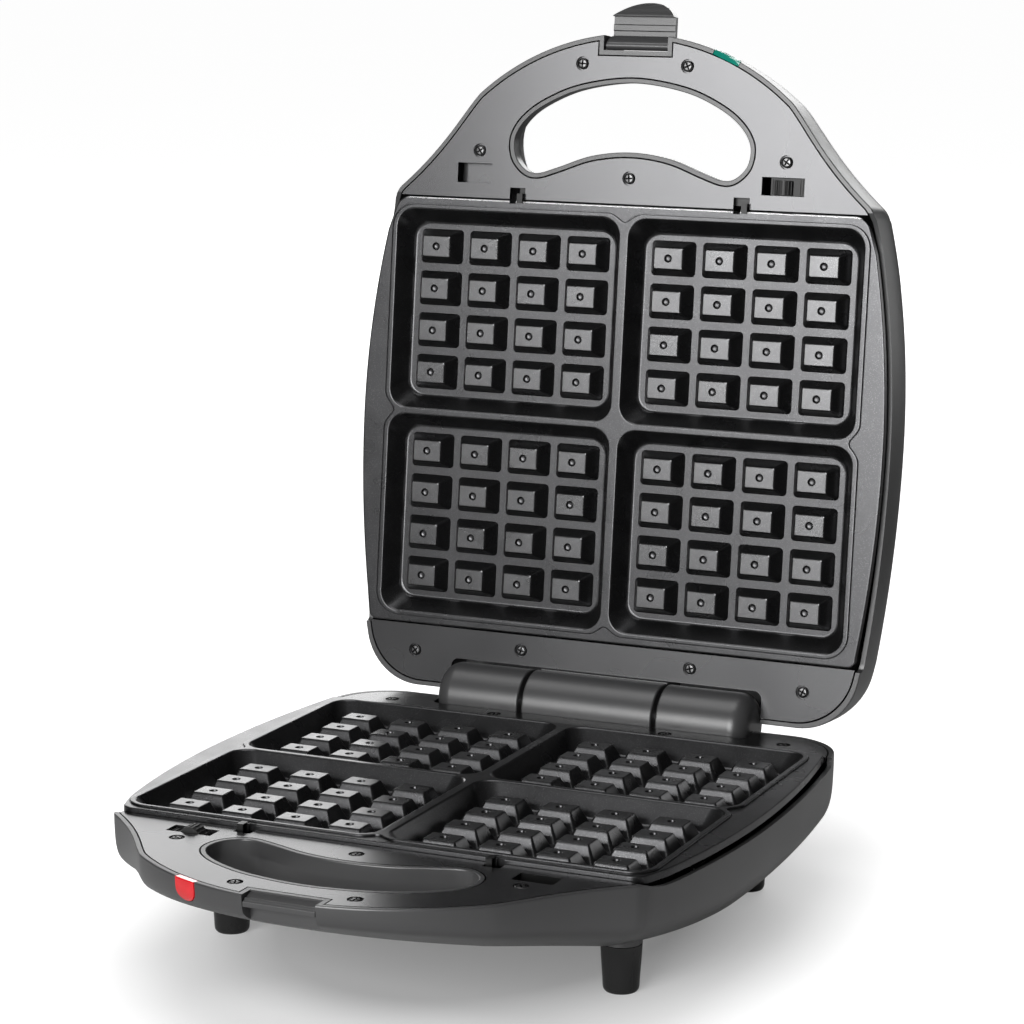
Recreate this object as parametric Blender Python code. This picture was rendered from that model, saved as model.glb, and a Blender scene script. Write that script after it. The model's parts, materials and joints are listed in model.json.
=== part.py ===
"""Waffle maker with two hinged halves, removable four-waffle plates and a front latch.

Both halves share their mouldings, turned over about the Y axis, but for the casings' depth.  A half is
modelled with its trims' top faces on z = 0 and its casing below.  The base half
stands on four feet, and the lid half hangs from the hinge and stands open.
Metres, +Z up, front towards -Y, origin under the middle of the whole part.
"""
import math

import bmesh
import bpy
from mathutils import Matrix, Vector

MM = 0.001
GAP = 0.3 * MM                     # between pieces that touch

# Stance of the two halves
DECK_HEIGHT = 66.5 * MM            # base trims' top faces above the table
PLATE_Y = -13.85 * MM              # plates' centre, so that the origin is mid-footprint
DECK_SPACING = 6 * MM              # between the two trims when the lid is shut
HINGE_Y = 143 * MM
HINGE_Z = 1.1 * MM
LID_OPEN = math.radians(96.2)
RIM_TOP = 2.85 * MM                # plate rims above the trims

# Casing outline at its lip
HALF_WIDTH = 141.7 * MM
WIDEST_Y = 5 * MM
REAR_Y = 141.5 * MM
ARCH_Y = -69 * MM                  # centre of the handle's arch
ARCH_RADIUS = 125.5 * MM
ARCH_END = math.radians(41.7)
FLARE_END = (125.2 * MM, -114.7 * MM)
SIDE_FRONT_Y = -108 * MM
SIDE_FRONT_RADIUS = 507 * MM
SIDE_REAR_RADIUS = 788 * MM
REAR_CORNER = (103.4 * MM, 111 * MM)
REAR_CORNER_RADIUS = 30.5 * MM

# Casing depth and wall
BASE_DEPTH = 44.5 * MM
BASE_RISE = 30.2 * MM              # how far the bottom has risen at the tip of the handle
BASE_RISE_Y = (-20 * MM, -195 * MM)
LID_DEPTH = 49 * MM
LID_RISE = 19.3 * MM
LID_RISE_Y = (-80 * MM, -195 * MM)
LID_REAR_DEPTH = 45 * MM
LID_REAR_Y = (-45 * MM, 141.5 * MM)
WALL = 2.2 * MM
SIDE_LIP_Z = -4.5 * MM             # the lip dips beside the plate
SIDE_LIP_Y = (-109 * MM, 111 * MM)
# Inset in mm of the wall at each fraction of the depth
BASE_WALL = ((0, 0), (0.1, 0.2), (0.6, 0.44), (2.0, 0.6), (5.2, 0.71), (10.3, 0.81), (18, 0.9),
             (28, 0.965), (39, 1))
LID_WALL = ((0, 0), (0.1, 0.25), (0.5, 0.45), (1.3, 0.6), (2.6, 0.72), (4.8, 0.83), (8.5, 0.92),
            (13.5, 0.975), (21, 1))

# Trims
TRIM_THICK = 2.5 * MM
TRIM_INSET = 2.9 * MM
FRONT_TRIM_EDGE = -110.3 * MM
REAR_TRIM_EDGE = 110 * MM
NOTCH_HALF = 17.1 * MM             # latch notch in the casing
NOTCH_BACK = -185.8 * MM
SLIDER_WINDOW = (-92 * MM, -70 * MM, -126.6 * MM, -117.6 * MM)
BLANK_WINDOW = (74.6 * MM, 93.7 * MM, -127.6 * MM, -117.6 * MM)
CLIP_X = 60 * MM
CLIP_HALF = 4.2 * MM
CLIP_BACK = -116 * MM

# Hinge
RECESS_HALF = 84.5 * MM
RECESS_Y = 125.5 * MM
RECESS_FLOOR = -17.5 * MM
KNUCKLE_RADIUS = 16.8 * MM
KNUCKLE_END = 84 * MM
KNUCKLE_JOINT = 35 * MM
KNUCKLE_CLEAR = 2.2 * MM
PIN_RADIUS = 4 * MM

# Screws
FRONT_SCREWS = ((-28, -179), (28, -179), (-82, -134), (82, -134), (0, -123))
REAR_SCREWS = ((-105.5, 123.5), (105.5, 123.5), (-46, 118), (46, 118))
HEAD_RADIUS = 3 * MM
SHANK_RADIUS = 1.3 * MM
SEAT_DEPTH = 1.6 * MM
POST_RADIUS = 3.5 * MM

# Plate
PAN_X = (2.5 * MM, 125 * MM)
PAN_Y = (1.7 * MM, 103.3 * MM)
PAN_FLOOR_X = (7.4 * MM, 119.6 * MM)
PAN_FLOOR_Y = (7.4 * MM, 97 * MM)
PAN_FLOOR_Z = -8 * MM
PLATE_UNDERSIDE = -10 * MM
FLANGE_Z = (-1.5 * MM, 2 * MM)
FLANGE_FRONT = -109.3 * MM
FLANGE_REAR = 109 * MM
PEG_PITCH = (27 * MM, 21.45 * MM)
PEG_BASE = (23.5 * MM, 17.5 * MM)
PEG_TOP = (15.2 * MM, 10.7 * MM)
PAN_CENTRE = (63.55 * MM, 52.36 * MM)

# Heating
TUBE_RADIUS = 3.25 * MM
TRAY_HALF = (116 * MM, 97 * MM)
TRAY_Z = (-20.5 * MM, -10.4 * MM)
TRAY_WALL = 0.8 * MM
TRAY_POST = (62 * MM, 58 * MM)

# Latch, in the lid half
LATCH_PIVOT = (-188.4 * MM, -3.9 * MM)
LATCH_HALF = 16.5 * MM
LATCH_PIN_RADIUS = 1.0 * MM

# Plate release
RELEASE_TRAVEL = 4 * MM
BAR_Z = (-4.4 * MM, -3.2 * MM)

# Feet
FOOT_X = 97 * MM
FOOT_Y = (-60 * MM, 100 * MM)
FOOT_TOP_RADIUS = 9.3 * MM
FOOT_BOTTOM_RADIUS = 7.9 * MM

# Cord gland in the base's rear wall
GLAND_X = 94.2 * MM
GLAND_Z = -15 * MM


# ---------------------------------------------------------------- scene set-up

def clear_scene():
    for thing in list(bpy.data.objects):
        bpy.data.objects.remove(thing, do_unlink=True)


def new_collection(name):
    group = bpy.data.collections.new(name)
    bpy.context.scene.collection.children.link(group)
    return group


def add_empty(name, parent=None, location=(0, 0, 0), rotation=(0, 0, 0)):
    empty = bpy.data.objects.new(name, None)
    empty.location = location
    empty.rotation_euler = rotation
    empty.parent = parent
    PARTS.objects.link(empty)
    return empty


def make_material(name, colour, roughness, metallic=0.0, alpha=1.0):
    material = bpy.data.materials.new(name)
    material.use_nodes = True
    shader = material.node_tree.nodes["Principled BSDF"]
    shader.inputs["Base Color"].default_value = (*colour, 1)
    shader.inputs["Roughness"].default_value = roughness
    shader.inputs["Metallic"].default_value = metallic
    shader.inputs["Alpha"].default_value = alpha
    return material


def finish(shape, name, parent, material, smooth_angle=35):
    """Name a finished solid, hang it on its frame and give it its material."""
    shape.name = name
    shape.data.name = name
    shape.parent = parent
    shape.data.materials.clear()
    shape.data.materials.append(material)
    shape.data.shade_smooth()
    shape.data.set_sharp_from_angle(angle=math.radians(smooth_angle))
    return shape


def twin(source, name, parent):
    """The same moulding again, on another frame."""
    copy = source.copy()
    copy.name = name
    copy.parent = parent
    PARTS.objects.link(copy)
    return copy


# ---------------------------------------------------------------- solid helpers

def to_object(bm, name="shape"):
    bmesh.ops.recalc_face_normals(bm, faces=bm.faces)
    mesh = bpy.data.meshes.new(name)
    bm.to_mesh(mesh)
    bm.free()
    shape = bpy.data.objects.new(name, mesh)
    PARTS.objects.link(shape)
    return shape


def add_prism(bm, outline, low, high):
    """Raise a flat outline into a solid from z = low to z = high."""
    base = bm.faces.new([bm.verts.new((x, y, low)) for x, y in outline])
    raised = bmesh.ops.extrude_face_region(bm, geom=[base])["geom"]
    tops = [part for part in raised if isinstance(part, bmesh.types.BMVert)]
    bmesh.ops.translate(bm, verts=tops, vec=(0, 0, high - low))


def prism(outline, low, high):
    bm = bmesh.new()
    add_prism(bm, outline, low, high)
    return to_object(bm)


def side_prism(profile, half_width):
    """Draw a (y, z) profile out along X, the same distance to both sides."""
    shape = prism([(y, z) for y, z in profile], -half_width, half_width)
    shape.data.transform(Matrix(((0, 0, 1, 0), (1, 0, 0, 0), (0, 1, 0, 0), (0, 0, 0, 1))))
    return shape


def add_box(bm, x, y, z):
    size = Matrix.Diagonal((x[1] - x[0], y[1] - y[0], z[1] - z[0], 1))
    centre = Matrix.Translation(((x[0] + x[1]) / 2, (y[0] + y[1]) / 2, (z[0] + z[1]) / 2))
    bmesh.ops.create_cube(bm, size=1, matrix=centre @ size)


def box(x, y, z):
    bm = bmesh.new()
    add_box(bm, x, y, z)
    return to_object(bm)


def add_cylinder(bm, centre, radius, length, axis="Z", sides=12, end_radius=None):
    """A cylinder or cone about an axis line through its middle."""
    turn = {"X": Matrix.Rotation(math.pi / 2, 4, "Y"), "Y": Matrix.Rotation(-math.pi / 2, 4, "X"),
            "Z": Matrix.Identity(4)}[axis]
    bmesh.ops.create_cone(bm, cap_ends=True, segments=sides, radius1=radius,
                          radius2=radius if end_radius is None else end_radius, depth=length,
                          matrix=Matrix.Translation(centre) @ turn)


def cylinder(centre, radius, length, axis="Z", sides=12, end_radius=None):
    bm = bmesh.new()
    add_cylinder(bm, centre, radius, length, axis, sides, end_radius)
    return to_object(bm)


def turned(profile, steps):
    """A solid turned about Z from (radius, z) points that run from top to bottom."""
    bm = bmesh.new()
    line = [bm.verts.new((r, 0, z)) for r, z in profile]
    edges = [bm.edges.new(pair) for pair in zip(line, line[1:])]
    bmesh.ops.spin(bm, geom=line + edges, cent=(0, 0, 0), axis=(0, 0, 1),
                   angle=2 * math.pi, steps=steps, use_merge=True)
    bmesh.ops.remove_doubles(bm, verts=bm.verts, dist=1e-6)
    return to_object(bm)


def cap(bm, ring):
    """Close a ring that is the same on both sides of x = 0 with strips from side to side."""
    count = len(ring)
    for i in range(count // 2):
        strip = [ring[i], ring[i + 1], ring[(count - i - 1) % count], ring[(count - i) % count]]
        bm.faces.new(list(dict.fromkeys(strip)))


def loft(rings, strips=False):
    """Skin a stack of rings that have the same number of points, with capped ends."""
    bm = bmesh.new()
    layers = [[bm.verts.new(point) for point in ring] for ring in rings]
    count = len(rings[0])
    for lower, upper in zip(layers, layers[1:]):
        for i in range(count):
            j = (i + 1) % count
            bm.faces.new((lower[i], lower[j], upper[j], upper[i]))
    bm.faces.new(layers[0])
    if strips:
        cap(bm, layers[-1])
    else:
        bm.faces.new(layers[-1])
    return to_object(bm)


def combine(target, tool, operation="DIFFERENCE"):
    """Cut, join or intersect at once, and use the tool up."""
    step = target.modifiers.new("step", "BOOLEAN")
    step.object = tool
    step.operation = operation
    step.solver = "EXACT"
    ready = target.evaluated_get(bpy.context.evaluated_depsgraph_get())
    result = bpy.data.meshes.new_from_object(ready)
    target.modifiers.clear()
    target.data = result
    bpy.data.objects.remove(tool, do_unlink=True)
    return target


def tidy(shape):
    """Weld the seams that a cut leaves and drop edges inside flat faces."""
    bm = bmesh.new()
    bm.from_mesh(shape.data)
    bmesh.ops.remove_doubles(bm, verts=bm.verts, dist=2e-6)
    bmesh.ops.dissolve_degenerate(bm, edges=bm.edges, dist=2e-6)
    bmesh.ops.dissolve_limit(bm, angle_limit=math.radians(0.2), verts=bm.verts, edges=bm.edges)
    bmesh.ops.triangulate(bm, faces=bm.faces)
    bm.to_mesh(shape.data)
    bm.free()
    return shape


# ---------------------------------------------------------------- outlines

def arc(centre, radius, start, end, steps):
    """Points on an arc, angles in degrees from +X."""
    angles = [math.radians(start + (end - start) * i / steps) for i in range(steps + 1)]
    return [(centre[0] + radius * math.cos(a), centre[1] + radius * math.sin(a)) for a in angles]


def rounded_rectangle(x, y, radius, steps=4):
    corners = ((x[1] - radius, y[1] - radius, 0), (x[0] + radius, y[1] - radius, 90),
               (x[0] + radius, y[0] + radius, 180), (x[1] - radius, y[0] + radius, 270))
    outline = []
    for cx, cy, start in corners:
        outline += arc((cx, cy), radius, start, start + 90, steps)
    return outline


def bezier(p0, p1, p2, p3, steps):
    points = []
    for i in range(steps + 1):
        t = i / steps
        s = 1 - t
        weights = (s ** 3, 3 * s * s * t, 3 * s * t * t, t ** 3)
        points.append(tuple(sum(w * p[k] for w, p in zip(weights, (p0, p1, p2, p3))) for k in (0, 1)))
    return points


def smooth_closed(points, steps):
    """A smooth closed curve through a few points."""
    outline = []
    count = len(points)
    for i in range(count):
        before, start, end, after = (Vector(points[(i + k) % count]) for k in (-1, 0, 1, 2))
        for step in range(steps):
            t = step / steps
            outline.append(tuple(0.5 * (2 * start + (end - before) * t
                                        + (2 * before - 5 * start + 4 * end - after) * t ** 2
                                        + (3 * start - before - 3 * end + after) * t ** 3)))
    return outline


def mirrored(half):
    """Close a half outline that runs from the front middle to the rear middle at +X."""
    other = [(-x, y) for x, y in reversed(half) if x > 1e-6]
    return half + other


def side_curve(widest_x, widest_y, radius, start_y, end_y, steps):
    points = []
    for i in range(steps + 1):
        y = start_y + (end_y - start_y) * i / steps
        rise = y - widest_y
        points.append((widest_x - radius + math.sqrt(radius ** 2 - rise ** 2), y))
    return points


def casing_outline():
    arch_end = (ARCH_RADIUS * math.sin(ARCH_END), ARCH_Y - ARCH_RADIUS * math.cos(ARCH_END))
    arch = [(ARCH_RADIUS * math.sin(ARCH_END * i / 8), ARCH_Y - ARCH_RADIUS * math.cos(ARCH_END * i / 8))
            for i in range(8)]
    flare = bezier(arch_end, (arch_end[0] + 9 * MM, arch_end[1] + 10 * MM),
                   (FLARE_END[0] - 24 * MM, FLARE_END[1] - 21 * MM), FLARE_END, 6)
    corner = [(127.6 * MM, -111.8 * MM)]
    front = side_curve(HALF_WIDTH, WIDEST_Y, SIDE_FRONT_RADIUS, SIDE_FRONT_Y, WIDEST_Y, 6)
    rear = side_curve(HALF_WIDTH, WIDEST_Y, SIDE_REAR_RADIUS, WIDEST_Y, REAR_CORNER[1], 5)[1:]
    back = arc(REAR_CORNER, REAR_CORNER_RADIUS, 12, 90, 6)
    return mirrored(arch + flare + corner + front + rear + back)


def inset_outline(outline, inset):
    """Draw the casing outline in towards its middle."""
    front = ARCH_Y - ARCH_RADIUS
    middle_y = (front + REAR_Y) / 2
    shrink_x = 1 - inset / HALF_WIDTH
    shrink_y = 1 - inset / (REAR_Y - middle_y)
    return [(x * shrink_x, middle_y + (y - middle_y) * shrink_y) for x, y in outline]


def hand_outline(inset):
    """The crescent hand opening, drawn in from the trim's edge."""
    half = ((0, -172.6), (27, -169), (46, -161.6), (58.8, -152.6), (65.4, -142), (64.4, -130.6),
            (57.6, -123), (49.5, -121.2), (38, -124.6), (20, -130.9), (0, -133.2))
    points = [(x * MM, y * MM) for x, y in half]
    outline = smooth_closed(mirrored(points), 2)
    if not inset:
        return outline
    moved = []
    for i, point in enumerate(outline):
        before = Vector(outline[i - 1])
        after = Vector(outline[(i + 1) % len(outline)])
        along = (after - before).normalized()
        moved.append((point[0] - along.y * inset, point[1] + along.x * inset))
    return moved


def base_depth(y):
    """Casing depth: full under the plates, less and less towards the tip of the handle."""
    start, end = BASE_RISE_Y
    return BASE_DEPTH - BASE_RISE * max((y - start) / (end - start), 0) ** 1.5


def lid_depth(y):
    """The lid's casing is fullest near the front of its plate."""
    start, end = LID_RISE_Y
    rear_start, rear_end = LID_REAR_Y
    rise = LID_RISE * max((y - start) / (end - start), 0) ** 1.3
    fall = (LID_DEPTH - LID_REAR_DEPTH) * max((y - rear_start) / (rear_end - rear_start), 0)
    return LID_DEPTH - rise - fall


BASE_SHAPE = (BASE_WALL, base_depth)
LID_SHAPE = (LID_WALL, lid_depth)


# ---------------------------------------------------------------- casings

def casing_body(shape, extra_inset, less_depth, top):
    """A closed lump with the casing's side walls, round edge and bottom."""
    wall, depth_at = shape
    outline = casing_outline()
    rings = [[(x, y, top) for x, y in inset_outline(outline, extra_inset)]] if top else []
    for inset, fraction in wall:
        ring = inset_outline(outline, inset * MM + extra_inset)
        rings.append([(x, y, -fraction * (depth_at(y) - less_depth)) for x, y in ring])
    return loft(rings, strips=True)


def screw_places():
    return [(x * MM, y * MM) for x, y in FRONT_SCREWS + REAR_SCREWS]


def hand_cutter(grow):
    """The hand opening, which flares out towards the back of the handle."""
    levels = ((5, 2.7), (-7, 2.4), (-14, 0), (-22, -4.5), (-32, -10), (-60, -10))
    return loft([[(x, y, z * MM) for x, y in hand_outline(inset * MM - grow)] for z, inset in levels])


def casing_hollows(grow, floor_grow):
    """Hand opening, latch notch and hinge recess, as one cutter."""
    hand = hand_cutter(grow)
    bm = bmesh.new()
    add_box(bm, (-NOTCH_HALF - grow, NOTCH_HALF + grow), (-210 * MM, NOTCH_BACK + grow), (-60 * MM, 5 * MM))
    add_box(bm, (-RECESS_HALF - grow, RECESS_HALF + grow), (RECESS_Y - grow, 160 * MM),
            (RECESS_FLOOR - floor_grow, 5 * MM))
    return combine(to_object(bm), hand, "UNION")


def casing_posts():
    """Screw posts and the tray's four posts, left standing in the hollow."""
    bm = bmesh.new()
    for x, y in screw_places():
        low = -60 * MM
        high = -TRIM_THICK - GAP
        add_cylinder(bm, (x, y, (low + high) / 2), POST_RADIUS, high - low, sides=10)
    for sx in (-1, 1):
        for sy in (-1, 1):
            centre = (sx * TRAY_POST[0], sy * TRAY_POST[1], -60 * MM / 2 + (TRAY_Z[0] - GAP) / 2)
            add_cylinder(bm, centre, 5 * MM, 60 * MM + TRAY_Z[0] - GAP, sides=10)
    return to_object(bm)


def casing_cuts():
    """Pilot holes, side dips and the lowered wall at the hinge recess."""
    bm = bmesh.new()
    for x, y in screw_places():
        add_cylinder(bm, (x, y, -6 * MM), SHANK_RADIUS + GAP, 9 * MM, sides=6)
    for side in (-1, 1):
        xs = sorted((side * 110 * MM, side * 160 * MM))
        add_box(bm, xs, SIDE_LIP_Y, (SIDE_LIP_Z, 5 * MM))
    add_box(bm, (-RECESS_HALF - WALL, RECESS_HALF + WALL), (RECESS_Y - 2 * WALL, REAR_Y - WALL),
            (-TRIM_THICK - GAP, 5 * MM))
    return to_object(bm)


def casing_shell(shape):
    """What both casings share."""
    shell = combine(casing_body(shape, 0, 0, 0), casing_hollows(0, 0))
    hollow = combine(casing_body(shape, WALL, WALL, 5 * MM), casing_hollows(WALL, WALL))
    combine(hollow, casing_posts())
    combine(shell, hollow)
    return combine(shell, casing_cuts())


def lens_frame(angle):
    """Stands a lens outline, drawn in (x, y), on the handle's front wall."""
    return (Matrix.Translation((0, ARCH_Y, 0)) @ Matrix.Rotation(math.radians(-angle), 4, "Z")
            @ Matrix.Rotation(math.pi / 2, 4, "X"))


def lens_solid(angle, width, height, near, far, grow=0.0, top=-0.1 * MM):
    """A D-shaped pad through the wall, between two radii of the arch."""
    half = width / 2 + grow
    drop = height + grow
    outline = [(half, top), (-half, top), (-half, -drop + half * 0.8)]
    for i in range(1, 6):
        turn = math.pi * i / 6
        outline.append((-half * math.cos(turn), -drop + half * 0.8 * (1 - math.sin(turn))))
    outline.append((half, -drop + half * 0.8))
    pad = prism(outline, near, far)
    pad.data.transform(lens_frame(angle))
    return pad


def foot_bosses():
    """Solid pads that bring the risen bottom down to the front feet."""
    bm = bmesh.new()
    for side in (-1, 1):
        centre = (side * FOOT_X, FOOT_Y[0], -BASE_DEPTH + 4 * MM)
        add_cylinder(bm, centre, FOOT_TOP_RADIUS, 8 * MM, sides=16)
    return to_object(bm)


def lower_casing():
    shell = casing_shell(BASE_SHAPE)
    combine(shell, foot_bosses(), "UNION")
    combine(shell, lens_solid(*RED_LENS, 119 * MM, 130 * MM, GAP, 5 * MM))
    combine(shell, cylinder((GLAND_X, 138 * MM, GLAND_Z), 5.3 * MM, 16 * MM, "Y", 12))
    return tidy(shell)


def upper_casing():
    shell = casing_shell(LID_SHAPE)
    combine(shell, lens_solid(*GREEN_LENS, 119 * MM, 130 * MM, GAP, 5 * MM))
    combine(shell, cylinder((0, *LATCH_PIVOT), LATCH_PIN_RADIUS + GAP, 44 * MM, "X", 8))
    return tidy(shell)


RED_LENS = (23, 12.6 * MM, 9.7 * MM)       # angle round the arch, width, height
GREEN_LENS = (22.8, 14.5 * MM, 6.5 * MM)


def lens(place, shape):
    """A lens that follows the casing's wall and stands a little proud of it."""
    pad = lens_solid(*place, 123 * MM, 130 * MM)
    return tidy(combine(pad, casing_body(shape, -0.4 * MM, 0, 0), "INTERSECT"))


# ---------------------------------------------------------------- trims

def screw_seats(places):
    bm = bmesh.new()
    for x, y in places:
        add_cylinder(bm, (x * MM, y * MM, 0), HEAD_RADIUS + 0.5 * MM, 2 * SEAT_DEPTH, sides=12)
    return to_object(bm)


def screw_holes(places):
    bm = bmesh.new()
    for x, y in places:
        add_cylinder(bm, (x * MM, y * MM, 0), SHANK_RADIUS + GAP, 12 * MM, sides=6)
    return to_object(bm)


def front_trim():
    trim = prism(inset_outline(casing_outline(), TRIM_INSET), -TRIM_THICK, 0)
    combine(trim, box((-200 * MM, 200 * MM), (FRONT_TRIM_EDGE, 200 * MM), (-9 * MM, 9 * MM)))
    bm = bmesh.new()
    add_prism(bm, hand_outline(0), -9 * MM, 9 * MM)
    add_box(bm, (-NOTCH_HALF - TRIM_INSET, NOTCH_HALF + TRIM_INSET), (-210 * MM, NOTCH_BACK + TRIM_INSET),
            (-9 * MM, 9 * MM))
    for x0, x1, y0, y1 in (SLIDER_WINDOW, BLANK_WINDOW):
        add_box(bm, (x0, x1), (y0, y1), (-9 * MM, 9 * MM))
    for x in (-CLIP_X, CLIP_X):
        add_box(bm, (x - CLIP_HALF, x + CLIP_HALF), (CLIP_BACK, -100 * MM), (-9 * MM, 9 * MM))
    combine(trim, to_object(bm))
    combine(trim, screw_seats(FRONT_SCREWS))
    return tidy(combine(trim, screw_holes(FRONT_SCREWS)))


def rear_trim():
    trim = prism(inset_outline(casing_outline(), TRIM_INSET), -TRIM_THICK, 0)
    combine(trim, box((-200 * MM, 200 * MM), (-250 * MM, REAR_TRIM_EDGE), (-9 * MM, 9 * MM)))
    recess = rounded_rectangle((-RECESS_HALF, RECESS_HALF), (RECESS_Y, 170 * MM), 4 * MM, 3)
    combine(trim, prism(recess, -9 * MM, 9 * MM))
    combine(trim, screw_seats(REAR_SCREWS))
    return tidy(combine(trim, screw_holes(REAR_SCREWS)))


# ---------------------------------------------------------------- cooking plate

def flange_outline():
    front_corner = arc((119 * MM, -101 * MM), 8.3 * MM, -90, -14, 4)
    front = side_curve(140 * MM, 3 * MM, 491 * MM, -92 * MM, 3 * MM, 5)
    rear = side_curve(140 * MM, 3 * MM, 641 * MM, 3 * MM, 104 * MM, 5)[1:]
    rear_corner = arc((128 * MM, 105 * MM), 4 * MM, 12, 90, 3)
    return mirrored([(0, FLANGE_FRONT)] + front_corner + front + rear + rear_corner)


def pan_cutter():
    """The four pans, each a tapered tray with round corners."""
    pans = None
    for sx in (-1, 1):
        for sy in (-1, 1):
            rings = []
            levels = ((PAN_X, PAN_Y, 9.5 * MM, RIM_TOP + 0.01 * MM),
                      (PAN_FLOOR_X, PAN_FLOOR_Y, 8.5 * MM, PAN_FLOOR_Z))
            for xs, ys, radius, z in levels:
                outline = rounded_rectangle(sorted((sx * xs[0], sx * xs[1])),
                                            sorted((sy * ys[0], sy * ys[1])), radius)
                rings.append([(x, y, z) for x, y in outline])
            pan = loft(rings)
            pans = combine(pans, pan, "UNION") if pans else pan
    return pans


def add_peg(bm, x, y):
    """One tapered peg, from just under the pan floor to the trim's level."""
    sunk = 1.2 * MM
    slope = 1 + sunk / -PAN_FLOOR_Z
    made = bmesh.ops.create_cube(bm, size=1)["verts"]
    for vert in made:
        top = vert.co.z > 0
        size = PEG_TOP if top else [t + (b - t) * slope for b, t in zip(PEG_BASE, PEG_TOP)]
        vert.co = Vector((x + vert.co.x * size[0], y + vert.co.y * size[1],
                          0 if top else PAN_FLOOR_Z - sunk))


def pegs():
    bm = bmesh.new()
    steps = (-1.5, -0.5, 0.5, 1.5)
    for sx in (-1, 1):
        for sy in (-1, 1):
            for i in steps:
                for j in steps:
                    add_peg(bm, sx * PAN_CENTRE[0] + i * PEG_PITCH[0], sy * PAN_CENTRE[1] + j * PEG_PITCH[1])
    return to_object(bm)


def cooking_plate():
    plate = prism(flange_outline(), *FLANGE_Z)
    raised = rounded_rectangle((-128 * MM, 128 * MM), (-105.7 * MM, 105.7 * MM), 12 * MM)
    combine(plate, prism(raised, 0, RIM_TOP), "UNION")
    body = rounded_rectangle((-126.6 * MM, 126.6 * MM), (-104.8 * MM, 104.8 * MM), 11 * MM)
    combine(plate, prism(body, PLATE_UNDERSIDE, 1 * MM), "UNION")
    combine(plate, pan_cutter())
    combine(plate, pegs(), "UNION")
    bm = bmesh.new()
    for x in (-CLIP_X - CLIP_HALF, CLIP_X - CLIP_HALF):
        add_box(bm, (x + RELEASE_TRAVEL, x + RELEASE_TRAVEL + 3.6 * MM), (-115 * MM, -107.9 * MM),
                (-5 * MM, 5 * MM))
    return tidy(combine(plate, to_object(bm)))


# ---------------------------------------------------------------- heating

def heating_element():
    """A sheathed tube bent round under the pans, its ends at the rear."""
    z = PLATE_UNDERSIDE - GAP - TUBE_RADIUS
    corners = ((30, 95), (30, 66), (92, 66), (92, -70), (-92, -70), (-92, 66), (-30, 66), (-30, 95))
    bend = 16 * MM
    path = [Vector((x * MM, y * MM)) for x, y in corners]
    points = [path[0]]
    for before, corner, after in zip(path, path[1:], path[2:]):
        reach = min(bend, (corner - before).length / 2, (after - corner).length / 2)
        into = corner + (before - corner).normalized() * reach
        out = corner + (after - corner).normalized() * reach
        points += [into.lerp(corner, t).lerp(corner.lerp(out, t), t) for t in (0, 0.25, 0.5, 0.75, 1)]
    points.append(path[-1])
    curve = bpy.data.curves.new("heating_tube", "CURVE")
    curve.dimensions = "3D"
    curve.bevel_depth = TUBE_RADIUS
    curve.bevel_resolution = 2
    curve.use_fill_caps = True
    spline = curve.splines.new("POLY")
    spline.points.add(len(points) - 1)
    for place, point in zip(spline.points, points):
        place.co = (point.x, point.y, z, 1)
    guide = bpy.data.objects.new("heating_tube", curve)
    PARTS.objects.link(guide)
    ready = guide.evaluated_get(bpy.context.evaluated_depsgraph_get())
    bm = bmesh.new()
    bm.from_mesh(bpy.data.meshes.new_from_object(ready))
    bmesh.ops.remove_doubles(bm, verts=bm.verts, dist=1e-6)
    bpy.data.objects.remove(guide, do_unlink=True)
    return to_object(bm)


def reflector_tray():
    """A thin pressed tray that throws the heat up at the plate."""
    outer = rounded_rectangle((-TRAY_HALF[0], TRAY_HALF[0]), (-TRAY_HALF[1], TRAY_HALF[1]), 12 * MM, 3)
    inner = rounded_rectangle((-TRAY_HALF[0] + TRAY_WALL, TRAY_HALF[0] - TRAY_WALL),
                              (-TRAY_HALF[1] + TRAY_WALL, TRAY_HALF[1] - TRAY_WALL), 11.2 * MM, 3)
    return combine(prism(outer, *TRAY_Z), prism(inner, TRAY_Z[0] + TRAY_WALL, 0))


def thermostat():
    floor = TRAY_Z[0] + TRAY_WALL + GAP
    top = PLATE_UNDERSIDE - GAP
    profile = ((0, top), (6.5 * MM, top), (9.5 * MM, top - 1.5 * MM), (9.5 * MM, top - 6 * MM),
               (6 * MM, top - 6 * MM), (6 * MM, floor), (0, floor))
    return turned(profile, 14)


def thermal_fuse():
    bm = bmesh.new()
    z = TRAY_Z[0] + TRAY_WALL + GAP + 2.2 * MM
    add_cylinder(bm, (34 * MM, 12 * MM, z), 2.2 * MM, 14 * MM, "X", 10)
    return to_object(bm)


def lamp(angle):
    """A small neon lamp behind a lens."""
    turn = math.radians(angle)
    radius = 116 * MM
    shape = cylinder((0, 0, 0), 2.4 * MM, 9 * MM, "X", 10)
    shape.data.transform(Matrix.Translation((-radius * math.sin(turn), ARCH_Y - radius * math.cos(turn),
                                             -6 * MM)) @ Matrix.Rotation(-turn, 4, "Z"))
    return shape


def terminal_block():
    block = box((58 * MM, 84 * MM), (86 * MM, 98 * MM), (-41.6 * MM, -30 * MM))
    bm = bmesh.new()
    for x in (64, 71, 78):
        add_cylinder(bm, (x * MM, 92 * MM, -30 * MM), 1.8 * MM, 8 * MM, sides=8)
    return tidy(combine(block, to_object(bm)))


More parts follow.
